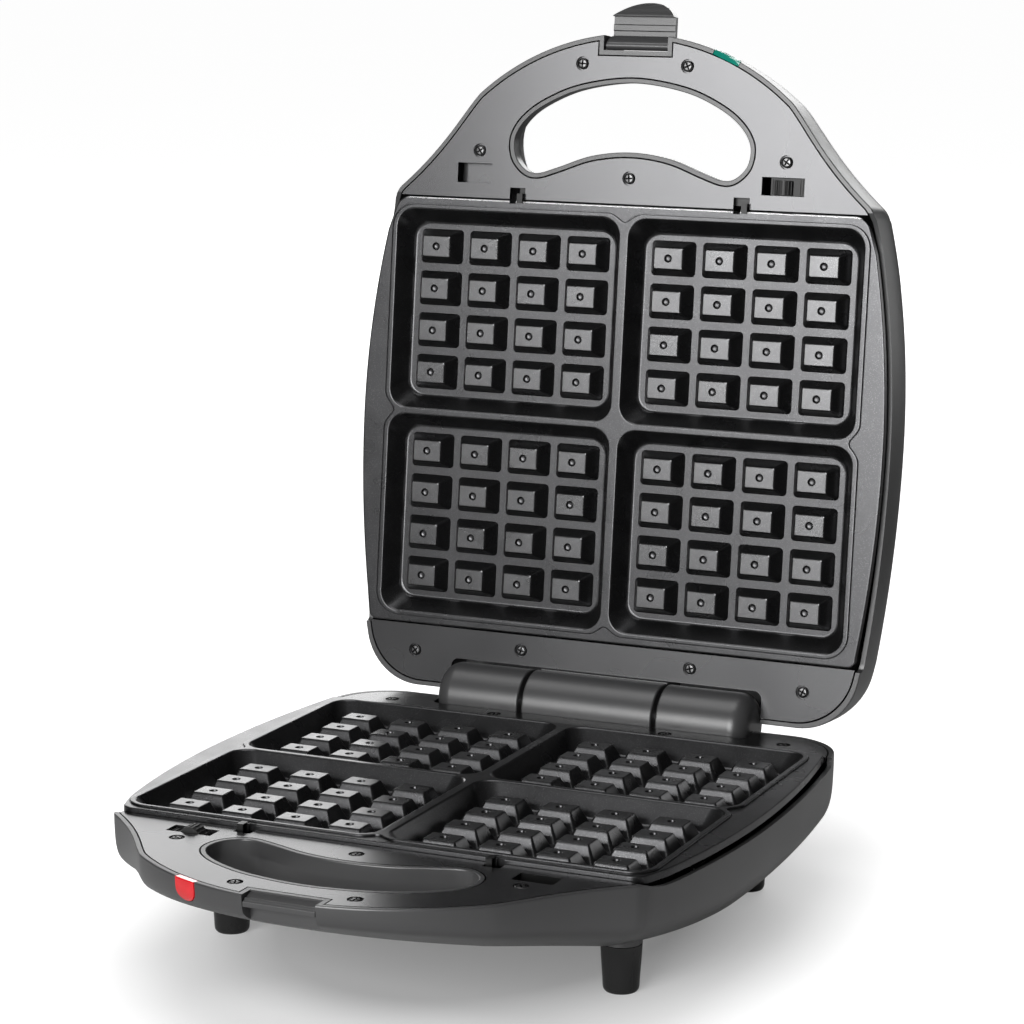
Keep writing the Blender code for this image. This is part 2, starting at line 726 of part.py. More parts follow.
def cord_gland():
    """The flanged bush that the supply cord would pass through."""
    profile = ((3.2 * MM, 8.2 * MM), (6 * MM, 8.2 * MM), (7.3 * MM, 6.9 * MM), (7.3 * MM, 6.5 * MM),
               (5 * MM, 6.5 * MM), (5 * MM, 0), (3.2 * MM, 0))
    bush = turned(profile + (profile[0],), 16)
    place = Matrix.Translation((GLAND_X, 135.2 * MM, GLAND_Z))
    bush.data.transform(place @ Matrix.Rotation(-math.pi / 2, 4, "X"))
    return bush


# ---------------------------------------------------------------- hinge

def knuckle(start, end, axis_z, block_top, round_start, round_end, bore_end):
    """A hinge barrel along X, with the block that fastens it into its recess."""
    ends = []
    for x, inward, corner in ((start, 1, round_start), (end, -1, round_end)):
        ends.append([(x + inward * corner * (1 - math.sin(a)), KNUCKLE_RADIUS - corner * (1 - math.cos(a)))
                     for a in (math.radians(k) for k in (90, 60, 30, 0))])
    rim = [(start, 0)] + ends[0] + ends[1][::-1] + [(end, 0)]
    barrel = turned([(radius, x) for x, radius in rim], 20)
    barrel.data.transform(Matrix.Rotation(math.pi / 2, 4, "Y"))
    barrel.data.transform(Matrix.Translation((0, HINGE_Y, axis_z)))
    inset = max(round_start, round_end) * 0.5
    block = box((start + (inset if round_start > 3 * MM else 0), end - (inset if round_end > 3 * MM else 0)),
                (RECESS_Y + GAP, 141 * MM), (RECESS_FLOOR + GAP, block_top))
    combine(barrel, block, "UNION")
    bore = cylinder(((bore_end[0] + bore_end[1]) / 2, HINGE_Y, axis_z), PIN_RADIUS + GAP,
                    bore_end[1] - bore_end[0], "X", 12)
    return tidy(combine(barrel, bore))


def hinge_pieces(base, lid):
    tip = KNUCKLE_END
    near = KNUCKLE_JOINT + KNUCKLE_CLEAR
    dome = 9 * MM
    edge = 1.2 * MM
    lid_axis = DECK_SPACING - HINGE_Z
    left = knuckle(-tip, -near, HINGE_Z, 0, dome, edge, (-80 * MM, 0))
    finish(left, "hinge_knuckle_left", base, SATIN_PLASTIC)
    right = knuckle(near, tip, HINGE_Z, 0, edge, dome, (0, 80 * MM))
    finish(right, "hinge_knuckle_right", base, SATIN_PLASTIC)
    centre = knuckle(-KNUCKLE_JOINT, KNUCKLE_JOINT, lid_axis, lid_axis, edge, edge, (-50 * MM, 50 * MM))
    finish(centre, "hinge_knuckle_centre", lid, SATIN_PLASTIC)
    pin = cylinder((0, HINGE_Y, HINGE_Z), PIN_RADIUS, 159 * MM, "X", 12)
    finish(pin, "hinge_pin", base, STEEL)


# ---------------------------------------------------------------- latch and catch

def latch():
    """A flap on a barrel, with a hook inside its end and a thumb tab curled outwards."""
    y, z = LATCH_PIVOT
    middle_z = z - 8.35 * MM
    profile = [(-2.0, 0.9), (-4.2, -2.2), (-5.4, -7.1), (-7.6, -7.1), (-8.1, -6.5), (-10.6, -6.5),
               (-11.1, -7.1), (-14.9, -7.1), (-14.9, -4.7), (-15.5, -4.6),
               (-17.6, -7.6), (-19.8, -10.6), (-22.4, -14.9),
               (-21.6, -16.6), (-18.6, -13.4), (-15.6, -9.9), (-13, -9.6), (-5, -9.6), (-3, -8.2),
               (-1.2, -3), (-0.4, -2.1)]
    points = [(y + a * MM, z + b * MM) for a, b in profile]
    flap = side_prism(points, LATCH_HALF)
    combine(flap, cylinder((0, y, z), 2.2 * MM, 2 * LATCH_HALF, "X", 14), "UNION")
    tip_y = y - 22.4 * MM
    combine(flap, cylinder((0, tip_y + 22 * MM, middle_z), 22 * MM, 60 * MM, "Z", 40), "INTERSECT")
    return tidy(combine(flap, cylinder((0, y, z), LATCH_PIN_RADIUS + GAP, 50 * MM, "X", 8)))


def catch_bar():
    """The sloping bar in the base's notch that the latch hooks under."""
    profile = [(-193.2, -5.2), (-193.2, -3), (-191.8, -2.5), (-191.2, -1.7), (-190.5, -1.7), (-190.1, -2),
               (-187, -0.9), (-186.1, -0.9), (-186.1, -5.2)]
    return side_prism([(y * MM, z * MM) for y, z in profile], NOTCH_HALF - GAP)


# ---------------------------------------------------------------- plate release

def release_slider():
    """A ribbed thumb slider in the trim's window, with a half-round tab."""
    x0, _, y0, y1 = SLIDER_WINDOW
    low = BAR_Z[1] + GAP
    right = SLIDER_WINDOW[1] - GAP - RELEASE_TRAVEL
    slider = box((x0 + GAP, right), (y0 + GAP, y1 - GAP), (low, -1.4 * MM))
    bm = bmesh.new()
    for i in range(3):
        rib = x0 + 1 * MM + i * 1.6 * MM
        add_box(bm, (rib, rib + 0.8 * MM), (y0 + 1 * MM, y1 - 1 * MM), (-2 * MM, -0.5 * MM))
    combine(slider, to_object(bm), "UNION")
    tab = cylinder((-81 * MM, -121.6 * MM, -2.4 * MM), 5.1 * MM, 4 * MM, "Y", 20)
    combine(tab, box((-95 * MM, -60 * MM), (-130 * MM, -110 * MM), (-20 * MM, -2.2 * MM)))
    return tidy(combine(slider, tab, "UNION"))


def lock_bar():
    """A steel strip that slides behind the trim, with two fingers over the plate's edge."""
    low, high = BAR_Z
    bar = box((-CLIP_X - CLIP_HALF, CLIP_X), (-117.2 * MM, -112 * MM), (low, high))
    combine(bar, box((-90 * MM, -CLIP_X), (-117.1 * MM, -112.1 * MM), (low + 1e-5, high - 1e-5)), "UNION")
    combine(bar, box((-89 * MM, -76 * MM), (-125 * MM, -114 * MM), (low + 2e-5, high - 2e-5)), "UNION")
    for x in (-CLIP_X - CLIP_HALF + GAP, CLIP_X - CLIP_HALF + GAP):
        finger = [(-113.2, -4), (-113.2, 2.8), (-108.3, 2.8), (-108.3, 2.3), (-112.2, 2.3), (-112.2, -4)]
        shape = side_prism([(y * MM, z * MM) for y, z in finger], 1.5 * MM)
        shape.data.transform(Matrix.Translation((x + 1.5 * MM, 0, 0)))
        combine(bar, shape, "UNION")
    return tidy(bar)


# ---------------------------------------------------------------- fasteners and feet

def screw():
    profile = ((0, 0), (2.2 * MM, 0), (HEAD_RADIUS, -0.7 * MM), (HEAD_RADIUS, -SEAT_DEPTH + GAP),
               (SHANK_RADIUS, -SEAT_DEPTH + GAP), (SHANK_RADIUS, -9 * MM), (0, -9 * MM))
    return turned(profile, 8)


def add_screws(base, lid):
    """One screw in every seat, nine in each half."""
    pattern = finish(screw(), "screw_pattern", base, STEEL)
    names = [f"front_screw_{i + 1}" for i in range(len(FRONT_SCREWS))]
    names += [f"rear_screw_{i + 1}" for i in range(len(REAR_SCREWS))]
    for half, parent in (("lower", base), ("upper", lid)):
        for name, (x, y) in zip(names, screw_places()):
            piece = twin(pattern, f"{half}_{name}", parent)
            piece.location = (x, y, 0)
    bpy.data.objects.remove(pattern, do_unlink=True)


def add_feet(base):
    top = -BASE_DEPTH - GAP
    length = DECK_HEIGHT + top
    names = {(-1, 0): "foot_front_left", (1, 0): "foot_front_right",
             (-1, 1): "foot_rear_left", (1, 1): "foot_rear_right"}
    profile = ((0, 0), (FOOT_TOP_RADIUS, 0), (FOOT_BOTTOM_RADIUS + 0.2 * MM, -length + 2 * MM),
               (FOOT_BOTTOM_RADIUS - 0.8 * MM, -length), (0, -length))
    for (side, row), name in names.items():
        foot = finish(turned(profile, 16), name, base, GLOSS_PLASTIC)
        foot.location = (side * FOOT_X, FOOT_Y[row], top)


# ---------------------------------------------------------------- assembly

def build():
    stand = add_empty("stand", None, (0, PLATE_Y, DECK_HEIGHT))
    hinge = add_empty("lid_hinge", stand, (0, HINGE_Y, HINGE_Z), (-LID_OPEN, 0, 0))
    lid = add_empty("lid_half", hinge, (0, -HINGE_Y, DECK_SPACING - HINGE_Z), (0, math.pi, 0))
    latch_axis = add_empty("latch_pivot", lid, (0, *LATCH_PIVOT))

    finish(lower_casing(), "lower_casing", stand, SATIN_PLASTIC)
    finish(upper_casing(), "upper_casing", lid, SATIN_PLASTIC)

    shared = {"front_trim": (front_trim, GREY_TRIM), "rear_trim": (rear_trim, GREY_TRIM),
              "plate": (cooking_plate, NON_STICK), "heating_element": (heating_element, STEEL),
              "reflector": (reflector_tray, BRIGHT_METAL), "thermostat": (thermostat, CERAMIC),
              "release_slider": (release_slider, GLOSS_PLASTIC), "lock_bar": (lock_bar, STEEL)}
    for name, (maker, material) in shared.items():
        lower = finish(maker(), f"lower_{name}", stand, material)
        twin(lower, f"upper_{name}", lid)

    hinge_pieces(stand, lid)
    flap = finish(latch(), "latch", latch_axis, SATIN_PLASTIC)
    flap.data.transform(Matrix.Translation((0, -LATCH_PIVOT[0], -LATCH_PIVOT[1])))
    finish(cylinder((0, *LATCH_PIVOT), LATCH_PIN_RADIUS, 40 * MM, "X", 8), "latch_pin", lid, STEEL)
    finish(catch_bar(), "catch_bar", stand, SATIN_PLASTIC)
    finish(lens(RED_LENS, BASE_SHAPE), "power_lens", stand, RED)
    finish(lens(GREEN_LENS, LID_SHAPE), "ready_lens", lid, GREEN)
    finish(lamp(RED_LENS[0]), "power_lamp", stand, CERAMIC)
    finish(lamp(GREEN_LENS[0]), "ready_lamp", lid, CERAMIC)
    finish(thermal_fuse(), "thermal_fuse", stand, STEEL)
    finish(terminal_block(), "terminal_block", stand, CERAMIC)
    finish(cord_gland(), "cord_gland", stand, GLOSS_PLASTIC)
    add_screws(stand, lid)
    add_feet(stand)


clear_scene()
PARTS = new_collection("waffle_maker")
SATIN_PLASTIC = make_material("satin_plastic", (0.045, 0.045, 0.047), 0.42)
GLOSS_PLASTIC = make_material("gloss_plastic", (0.02, 0.02, 0.02), 0.2)
GREY_TRIM = make_material("grey_trim", (0.3, 0.3, 0.31), 0.35, 0.9)
NON_STICK = make_material("non_stick", (0.035, 0.035, 0.035), 0.45)
STEEL = make_material("steel", (0.5, 0.5, 0.5), 0.35, 1.0)
BRIGHT_METAL = make_material("bright_metal", (0.7, 0.7, 0.7), 0.25, 1.0)
CERAMIC = make_material("ceramic", (0.75, 0.73, 0.68), 0.6)
RED = make_material("red_lens", (0.75, 0.02, 0.03), 0.15, 0.0, 0.8)
GREEN = make_material("green_lens", (0.02, 0.45, 0.25), 0.15, 0.0, 0.8)
build()
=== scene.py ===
import json
import math

import bpy
from mathutils import Matrix, Vector


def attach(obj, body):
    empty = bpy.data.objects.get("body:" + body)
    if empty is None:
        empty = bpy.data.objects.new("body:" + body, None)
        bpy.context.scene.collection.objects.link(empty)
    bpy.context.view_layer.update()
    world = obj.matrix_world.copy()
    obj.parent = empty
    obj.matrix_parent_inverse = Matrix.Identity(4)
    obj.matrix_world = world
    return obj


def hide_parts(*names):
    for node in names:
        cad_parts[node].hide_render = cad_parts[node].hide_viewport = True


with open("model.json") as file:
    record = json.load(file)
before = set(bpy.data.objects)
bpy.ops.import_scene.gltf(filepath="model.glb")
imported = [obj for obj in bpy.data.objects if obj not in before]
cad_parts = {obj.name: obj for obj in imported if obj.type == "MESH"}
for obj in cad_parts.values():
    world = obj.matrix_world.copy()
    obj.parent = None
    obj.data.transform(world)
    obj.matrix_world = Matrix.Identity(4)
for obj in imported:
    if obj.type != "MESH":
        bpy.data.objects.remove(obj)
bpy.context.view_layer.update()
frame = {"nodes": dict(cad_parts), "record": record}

MM = 0.001

# -------------------- where the two halves stand
# A half is modelled with its trims' top faces on z = 0, its handle towards -Y and its casing below.
HINGE_Y = 143 * MM
HINGE_Z = 1.1 * MM
HALF_SPACING = 6 * MM
LID_JOINT = frame["record"]["behaviour"]["joints"][0]
HINGE = Vector(LID_JOINT["pos_m"])
OPENING = math.radians(LID_JOINT["range_deg"][1])
BASE_HALF = Matrix.Translation(HINGE - Vector((0, HINGE_Y, HINGE_Z)))
LID_HALF = (Matrix.Translation(HINGE) @ Matrix.Rotation(-OPENING, 4, "X")
            @ Matrix.Translation((0, -HINGE_Y, HALF_SPACING - HINGE_Z)) @ Matrix.Rotation(math.pi, 4, "Y"))

# -------------------- measures of the mouldings, in mm
HALF_WIDTH = 141.7
REAR = 141.5
ARCH_Y = -69
ARCH_RADIUS = 125.5
ARCH_SWEEP = 41.7
MIDDLE_Y = (ARCH_Y - ARCH_RADIUS + REAR) / 2
TRIM_INSET = 2.9
TRIM_THICK = 2.5
WALL = 2.2
NOTCH_HALF = 17.1
NOTCH_BACK = -185.8
RECESS_HALF = 84.5
RECESS_Y = 125.5
RECESS_FLOOR = -17.5
SIDE_LIP = -4.5
# The lip is rounded through these insets and drops.
RIM = ((0.45, 0), (0.2, 0.1), (0.05, 0.35), (0, 0.8))
# A wall turns in through these insets and shares of its depth.
BASE_WALL = ((0, 0), (0.1, 0.2), (0.6, 0.44), (2.0, 0.6), (5.2, 0.71), (10.3, 0.81), (18, 0.9),
             (28, 0.965), (39, 1))
LID_WALL = ((0, 0), (0.1, 0.25), (0.5, 0.45), (1.3, 0.6), (2.6, 0.72), (4.8, 0.83), (8.5, 0.92),
            (13.5, 0.975), (21, 1))
BOTTOM_INSETS = (55, 75, 95, 115, 130)
FRONT_TRIM_END = -110.3
REAR_TRIM_START = 110
FRONT_SCREWS = ((-28, -179), (28, -179), (-82, -134), (82, -134), (0, -123))
REAR_SCREWS = ((-105.5, 123.5), (105.5, 123.5), (-46, 118), (46, 118))
SEAT_RADIUS = 3.5
SEAT_DEPTH = 1.6
CROSS = (2.0, 0.45)
SLIDER_WINDOW = (-92, -70, -126.6, -117.6)
BLANK_WINDOW = (74.6, 93.7, -127.6, -117.6)
CUP_WALL = 0.8
CUP_FLOOR = -7
CLIP_X = 60
CLIP_HALF = 4.2
CLIP_BACK = -116
PLATE_FRONT = -109.3
FLANGE = (-1.5, 2)
PLATE_BODY = (126.6, 104.8, 11)
PLATE_BOTTOM = -10
GROOVE_FLOOR = 1.55
RIM_TOP = 2.85
PAN_RIM = ((2.5, 125), (1.7, 103.3), 9.5)
PAN_FLOOR = ((7.4, 119.6), (7.4, 97), 8.5)
PAN_DEPTH = -8
PEG_PITCH = (27, 21.45)
PEG_BASE = (23.5, 17.5)
PEG_TOP = (15.2, 10.7)
PAN_CENTRE = (63.55, 52.36)
BARREL_RADIUS = 16.8
KNUCKLE_TOP = -0.6
OUTER_KNUCKLES = (("left", -84, -37.2, (9, 1)), ("right", 37.2, 84, (1, 9)))
CENTRE_KNUCKLE = (-35, 35)
LATCH_PIVOT = (-188.4, -3.9)
LATCH_HALF = 16.5
FOOT_TOP = -44.8
FOOT_RADIUS = 9.3
BOSS_MIDDLE = -40.5
BOSS_HEIGHT = 8
FOOT_PLACES = {"foot_front_left": (-97, -60), "foot_front_right": (97, -60),
               "foot_rear_left": (-97, 100), "foot_rear_right": (97, 100)}
# A lens has its angle round the arch in degrees, its width and its height.
RED_LENS = (23, 12.6, 9.7)
GREEN_LENS = (22.8, 14.5, 6.5)
LENS_PAD = (123, 131)
LENS_POCKET = (119, 130)
LENS_GAP = 0.3
GLAND_X = 94.2
GLAND_Z = -15
GLAND_RADIUS = 5
# How far cutters reach: up and down through a trim, and out beyond its edges.
THROUGH = (-9, 9)
BEYOND = 200


# -------------------- outlines

def arc(centre, radius, start, end, steps):
    turns = [math.radians(start + (end - start) * i / steps) for i in range(steps + 1)]
    return [(centre[0] + radius * math.cos(a), centre[1] + radius * math.sin(a)) for a in turns]


def rounded_rectangle(x, y, radius, steps=6):
    corners = ((x[1] - radius, y[1] - radius, 0), (x[0] + radius, y[1] - radius, 90),
               (x[0] + radius, y[0] + radius, 180), (x[1] - radius, y[0] + radius, 270))
    outline = []
    for cx, cy, start in corners:
        outline += arc((cx, cy), radius, start, start + 90, steps)
    return outline


def bezier(p0, p1, p2, p3, steps):
    points = []
    for i in range(steps + 1):
        t = i / steps
        s = 1 - t
        weights = (s ** 3, 3 * s * s * t, 3 * s * t * t, t ** 3)
        points.append(tuple(sum(w * p[k] for w, p in zip(weights, (p0, p1, p2, p3))) for k in (0, 1)))
    return points


def smooth_curve(points, steps, closed=True):
    """A smooth curve through a few points."""
    outline = []
    count = len(points)
    for i in range(count if closed else count - 1):
        picks = [(i + k) % count if closed else min(max(i + k, 0), count - 1) for k in (-1, 0, 1, 2)]
        before, start, end, after = (Vector(points[k]) for k in picks)
        for step in range(steps):
            t = step / steps
            outline.append(tuple(0.5 * (2 * start + (end - before) * t
                                        + (2 * before - 5 * start + 4 * end - after) * t ** 2
                                        + (3 * start - before - 3 * end + after) * t ** 3)))
    return outline if closed else outline + [tuple(points[-1])]


def mirrored(half):
    """Close a half outline that runs from the front middle to the rear middle at +X."""
    return half + [(-x, y) for x, y in reversed(half) if x > 1e-6]


def side_curve(widest_x, widest_y, radius, start_y, end_y, steps):
    ys = [start_y + (end_y - start_y) * i / steps for i in range(steps + 1)]
    return [(widest_x - radius + math.sqrt(radius ** 2 - (y - widest_y) ** 2), y) for y in ys]


def casing_outline():
    end = math.radians(ARCH_SWEEP)
    arch_end = (ARCH_RADIUS * math.sin(end), ARCH_Y - ARCH_RADIUS * math.cos(end))
    arch = [(ARCH_RADIUS * math.sin(end * i / 30), ARCH_Y - ARCH_RADIUS * math.cos(end * i / 30))
            for i in range(30)]
    flare = bezier(arch_end, (arch_end[0] + 9, arch_end[1] + 10), (101.2, -135.7), (125.2, -114.7), 14)
    corner = bezier((125.2, -114.7), (126.8, -113.1), (127.8, -111.4), (128.6, -108), 6)[1:-1]
    front = side_curve(HALF_WIDTH, 5, 507, -108, 5, 24)
    rear = side_curve(HALF_WIDTH, 5, 788, 5, 111, 20)[1:]
    back = arc((103.4, 111), 30.5, 12, 90, 14)
    return mirrored(arch + flare + corner + front + rear + back)


CASING = casing_outline()


def drawn_in(inset):
    """The casing's outline, drawn in towards its middle."""
    shrink_x = 1 - inset / HALF_WIDTH
    shrink_y = 1 - inset / (REAR - MIDDLE_Y)
    return [(x * shrink_x, MIDDLE_Y + (y - MIDDLE_Y) * shrink_y) for x, y in CASING]


def hand_outline(inset):
    """The crescent hand opening, drawn in from the trim's edge."""
    half = [(0, -172.6), (27, -169), (46, -161.6), (58.8, -152.6), (65.4, -142), (64.4, -130.6),
            (57.6, -123), (49.5, -121.2), (38, -124.6), (20, -130.9), (0, -133.2)]
    outline = smooth_curve(mirrored(half), 6)
    moved = []
    for i, point in enumerate(outline):
        along = (Vector(outline[(i + 1) % len(outline)]) - Vector(outline[i - 1])).normalized()
        moved.append((point[0] - along.y * inset, point[1] + along.x * inset))
    return moved


def base_depth(y):
    """The base is deepest behind, and rises towards the handle's end."""
    deepest, handle_rise, start, run = 44.5, 30.2, -20, 175
    return deepest - handle_rise * max((start - y) / run, 0) ** 1.5


def lid_depth(y):
    """The lid is deepest at its middle, and shallower towards the handle and the hinge."""
    deepest, handle_rise, start, run = 49, 19.3, -80, 115
    hinge_rise, hinge_start, hinge_run = 4, -45, 186.5
    return (deepest - handle_rise * max((start - y) / run, 0) ** 1.3
            - hinge_rise * max((y - hinge_start) / hinge_run, 0))


def wall_steps(wall):
    """The wall's inset at each depth, drawn as a smooth line through its given places."""
    return [step for step in smooth_curve(wall, 3, closed=False) if step[1] > 0.05]


# -------------------- bench work

def put_down():
    """Nothing is selected, and nothing is being edited."""
    if bpy.context.mode != "OBJECT":
        bpy.ops.object.mode_set(mode="OBJECT")
    bpy.ops.object.select_all(action="DESELECT")


def take_up(piece):
    put_down()
    piece.select_set(True)
    bpy.context.view_layer.objects.active = piece


def fix_in_place():
    """Take the active piece's place, turn and size into its mesh."""
    bpy.ops.object.transform_apply(location=True, rotation=True, scale=True)


def stand(piece, place):
    """Carry a piece somewhere and fix it there."""
    piece.matrix_world = place
    take_up(piece)
    fix_in_place()


def open_up(piece):
    """Edit a piece, with none of its corners selected."""
    take_up(piece)
    bpy.ops.object.mode_set(mode="EDIT")
    bpy.ops.mesh.select_mode(type="VERT")
    bpy.ops.mesh.select_all(action="DESELECT")


def pull_rings(name, rings):
    """Lay a circle along the first ring, extrude it from ring to ring, and close both ends. In mm."""
    put_down()
    count = len(rings[0])
    bpy.ops.mesh.primitive_circle_add(vertices=count, radius=0.01)
    piece = bpy.context.object
    piece.name = name
    for corner, point in zip(piece.data.vertices, rings[0]):
        corner.co = Vector(point) * MM
    for ring in rings[1:]:
        bpy.ops.object.mode_set(mode="EDIT")
        bpy.ops.mesh.extrude_region_move(TRANSFORM_OT_translate={"value": (0, 0, 0)})
        bpy.ops.object.mode_set(mode="OBJECT")
        fresh = [corner for corner in piece.data.vertices if corner.select]
        for corner, point in zip(fresh, ring):
            corner.co = Vector(point) * MM
    last = len(piece.data.vertices) - count
    for first in (0, last):
        open_up(piece)
        bpy.ops.object.mode_set(mode="OBJECT")
        for corner in piece.data.vertices[first:first + count]:
            corner.select = True
        bpy.ops.object.mode_set(mode="EDIT")
        bpy.ops.mesh.edge_face_add()
    turn_outwards(piece)
    return piece


def turn_outwards(piece):
    open_up(piece)
    bpy.ops.mesh.select_all(action="SELECT")
    bpy.ops.mesh.remove_doubles(threshold=1e-6)
    bpy.ops.mesh.normals_make_consistent(inside=False)
    put_down()


def slab(name, outline, low, high, edge=0.0):
    """A flat plate between two heights, its top edge rounded over by the given radius."""
    rings = [[(x, y, low) for x, y in outline]]
    if not edge:
        return pull_rings(name, rings + [[(x, y, high) for x, y in outline]])
    for turn in (0, 30, 60, 90):
        inset = edge * (1 - math.cos(math.radians(turn)))
        drop = edge * (1 - math.sin(math.radians(turn)))
        rings.append([(x, y, high - drop) for x, y in offset(outline, inset)])
    rings.append([(x, y, high) for x, y in offset(outline, edge + 0.3)])
    return pull_rings(name, rings)


def offset(outline, inset):
    """An outline moved inwards by the same distance all round. It runs anticlockwise."""
    moved = []
    for i, point in enumerate(outline):
        before = Vector(point) - Vector(outline[i - 1])
        after = Vector(outline[(i + 1) % len(outline)]) - Vector(point)
        first = Vector((-before.y, before.x)).normalized()
        second = Vector((-after.y, after.x)).normalized()
        inwards = first + second
        inwards *= 2 * inset / max(inwards.length_squared, 1.0)
        moved.append((point[0] + inwards.x, point[1] + inwards.y))
    return moved


def block(name, x, y, z):
    put_down()
    centre = [(a + b) / 2 * MM for a, b in (x, y, z)]
    size = [(b - a) * MM for a, b in (x, y, z)]
    bpy.ops.mesh.primitive_cube_add(size=1, location=centre, scale=size)
    piece = bpy.context.object
    piece.name = name
    fix_in_place()
    return piece


def rod(name, centre, radius, length, axis="Z", sides=32):
    put_down()
    turn = {"X": (0, math.pi / 2, 0), "Y": (math.pi / 2, 0, 0), "Z": (0, 0, 0)}[axis]
    bpy.ops.mesh.primitive_cylinder_add(vertices=sides, radius=radius * MM, depth=length * MM,
                                        location=[c * MM for c in centre], rotation=turn)
    piece = bpy.context.object
    piece.name = name
    fix_in_place()
    return piece


def work(piece, kind, **settings):
    """Put one modifier on and apply it."""
    take_up(piece)
    bpy.ops.object.modifier_add(type=kind)
    step = piece.modifiers[-1]
    for key, value in settings.items():
        setattr(step, key, value)
    bpy.ops.object.modifier_apply(modifier=step.name)


def scrap(*pieces):
    for piece in pieces:
        bpy.data.objects.remove(piece, do_unlink=True)


def fit_tool(piece, tool, operation="DIFFERENCE"):
    """Cut with a tool, or weld it on, and use it up."""
    work(piece, "BOOLEAN", object=tool, operation=operation, solver="EXACT")
    scrap(tool)


def soften(piece, width, segments=2, angle=50):
    """Round over the edges that are sharper than the angle."""
    work(piece, "BEVEL", width=width * MM, segments=segments, limit_method="ANGLE",
         angle_limit=math.radians(angle), use_clamp_overlap=True, harden_normals=False)


def weld(pieces, name):
    """Make several shells one piece."""
    put_down()
    for piece in pieces:
        piece.select_set(True)
    bpy.context.view_layer.objects.active = pieces[0]
    bpy.ops.object.join()
    pieces[0].name = name
    return pieces[0]


def second(piece, name):
    """A copy with a mesh of its own."""
    copy = piece.copy()
    copy.data = piece.data.copy()
    copy.name = name
    bpy.context.scene.collection.objects.link(copy)
    return copy


def smooth(piece, angle):
    """Shade soft edges smoothly while the broad faces stay flat."""
    take_up(piece)
    bpy.ops.object.shade_smooth_by_angle(angle=math.radians(angle))
    work(piece, "WEIGHTED_NORMAL", keep_sharp=True, weight=90)


def paint(piece, finish, where=None):
    """Put one more finish on a piece, on the faces where the test of their centre in mm holds."""
    piece.data.materials.append(FINISHES[finish])
    for face in piece.data.polygons:
        if where and where(*(face.center / MM), face.normal):
            face.material_index = len(piece.data.materials) - 1


# -------------------- casings

def casing_lump(name, wall, depth_at, grow=0.0, hollow=False):
    """A closed lump with the casing's rounded lip, walls and bottom, or its hollow."""
    less = WALL if hollow else 0
    extra = WALL if hollow else -grow
    above = 5
    lip = ((0, -above),) if hollow else RIM
    rings = [[(x, y, -drop) for x, y in drawn_in(inset + extra)] for inset, drop in lip]
    steps = wall_steps(wall) + [(inset, 1) for inset in BOTTOM_INSETS if inset > wall[-1][0]]
    for inset, share in steps:
        rings.append([(x, y, -share * (depth_at(y) - less)) for x, y in drawn_in(inset + extra)])
    return pull_rings(name, rings)


def hand_tool(grow=0.0):
    """Cuts the hand opening, which has a rounded lip and flares out towards the back."""
    levels = [(5, 2.25), (0, 2.25), (-0.1, 2.5), (-0.35, 2.65), (-0.8, 2.7)]
    levels += smooth_curve(((-7, 2.4), (-14, 0), (-22, -4.5), (-32, -10), (-60, -10)), 3, closed=False)
    if grow:
        levels = [(z, 2.7 if z > -1 else inset) for z, inset in levels]
    rings = [[(x, y, z) for x, y in hand_outline(inset - grow)] for z, inset in levels]
    return pull_rings("hand_tool", rings)


def cut_hollows(lump, grow=0.0):
    """Cut the hand opening, the latch's notch and the hinge's recess."""
    above, below, before, behind = 6, -60, -210, 160
    fit_tool(lump, hand_tool(grow))
    fit_tool(lump, block("notch", (-NOTCH_HALF - grow, NOTCH_HALF + grow), (before, NOTCH_BACK + grow),
                         (below, above)))
    fit_tool(lump, block("recess", (-RECESS_HALF - grow, RECESS_HALF + grow), (RECESS_Y - grow, behind),
                         (RECESS_FLOOR - grow, above)))


def side_slab(name, profile, low, high):
    """Draw a (y, z) profile out along X."""
    return pull_rings(name, [[(low, y, z) for y, z in profile], [(high, y, z) for y, z in profile]])


def casing_shell(name, wall, depth_at):
    shell = casing_lump(name, wall, depth_at)
    cut_hollows(shell)
    hollow = casing_lump("hollow", wall, depth_at, hollow=True)
    cut_hollows(hollow, WALL)
    fit_tool(shell, hollow)
    dip = smooth_curve(((-114, 1.0), (-110, -0.6), (-104, -2.6), (-96, -4.1), (-86, SIDE_LIP)), 5,
                       closed=False)
    dip += [(107, SIDE_LIP), (109.6, SIDE_LIP + 0.6), (111, SIDE_LIP + 2.5), (111, 6), (-114, 6)]
    for side in (-1, 1):
        fit_tool(shell, side_slab("dip", dip, *sorted((side * 110, side * 160))))
    fit_tool(shell, block("trim_room", (-RECESS_HALF - WALL, RECESS_HALF + WALL),
                          (RECESS_Y - 2 * WALL, REAR - WALL), (-TRIM_THICK - 0.3, 6)))
    return shell


def lens_tool(place, near, far, grow=0.0):
    """A D-shaped pad that stands on the handle's front wall, between two radii of its arch."""
    angle, width, height = place
    half = width / 2 + grow
    round_z = -(height + grow) + half * 0.8
    top = 0.8 if grow else -0.1
    outline = [(half, top), (-half, top), (-half, round_z)]
    outline += [(-half * math.cos(math.pi * i / 16), round_z - half * 0.8 * math.sin(math.pi * i / 16))
                for i in range(1, 16)]
    outline.append((half, round_z))
    tool = pull_rings("lens_tool", [[(x, z, near) for x, z in outline], [(x, z, far) for x, z in outline]])
    stand(tool, Matrix.Translation((0, ARCH_Y * MM, 0)) @ Matrix.Rotation(math.radians(-angle), 4, "Z")
          @ Matrix.Rotation(math.pi / 2, 4, "X"))
    return tool


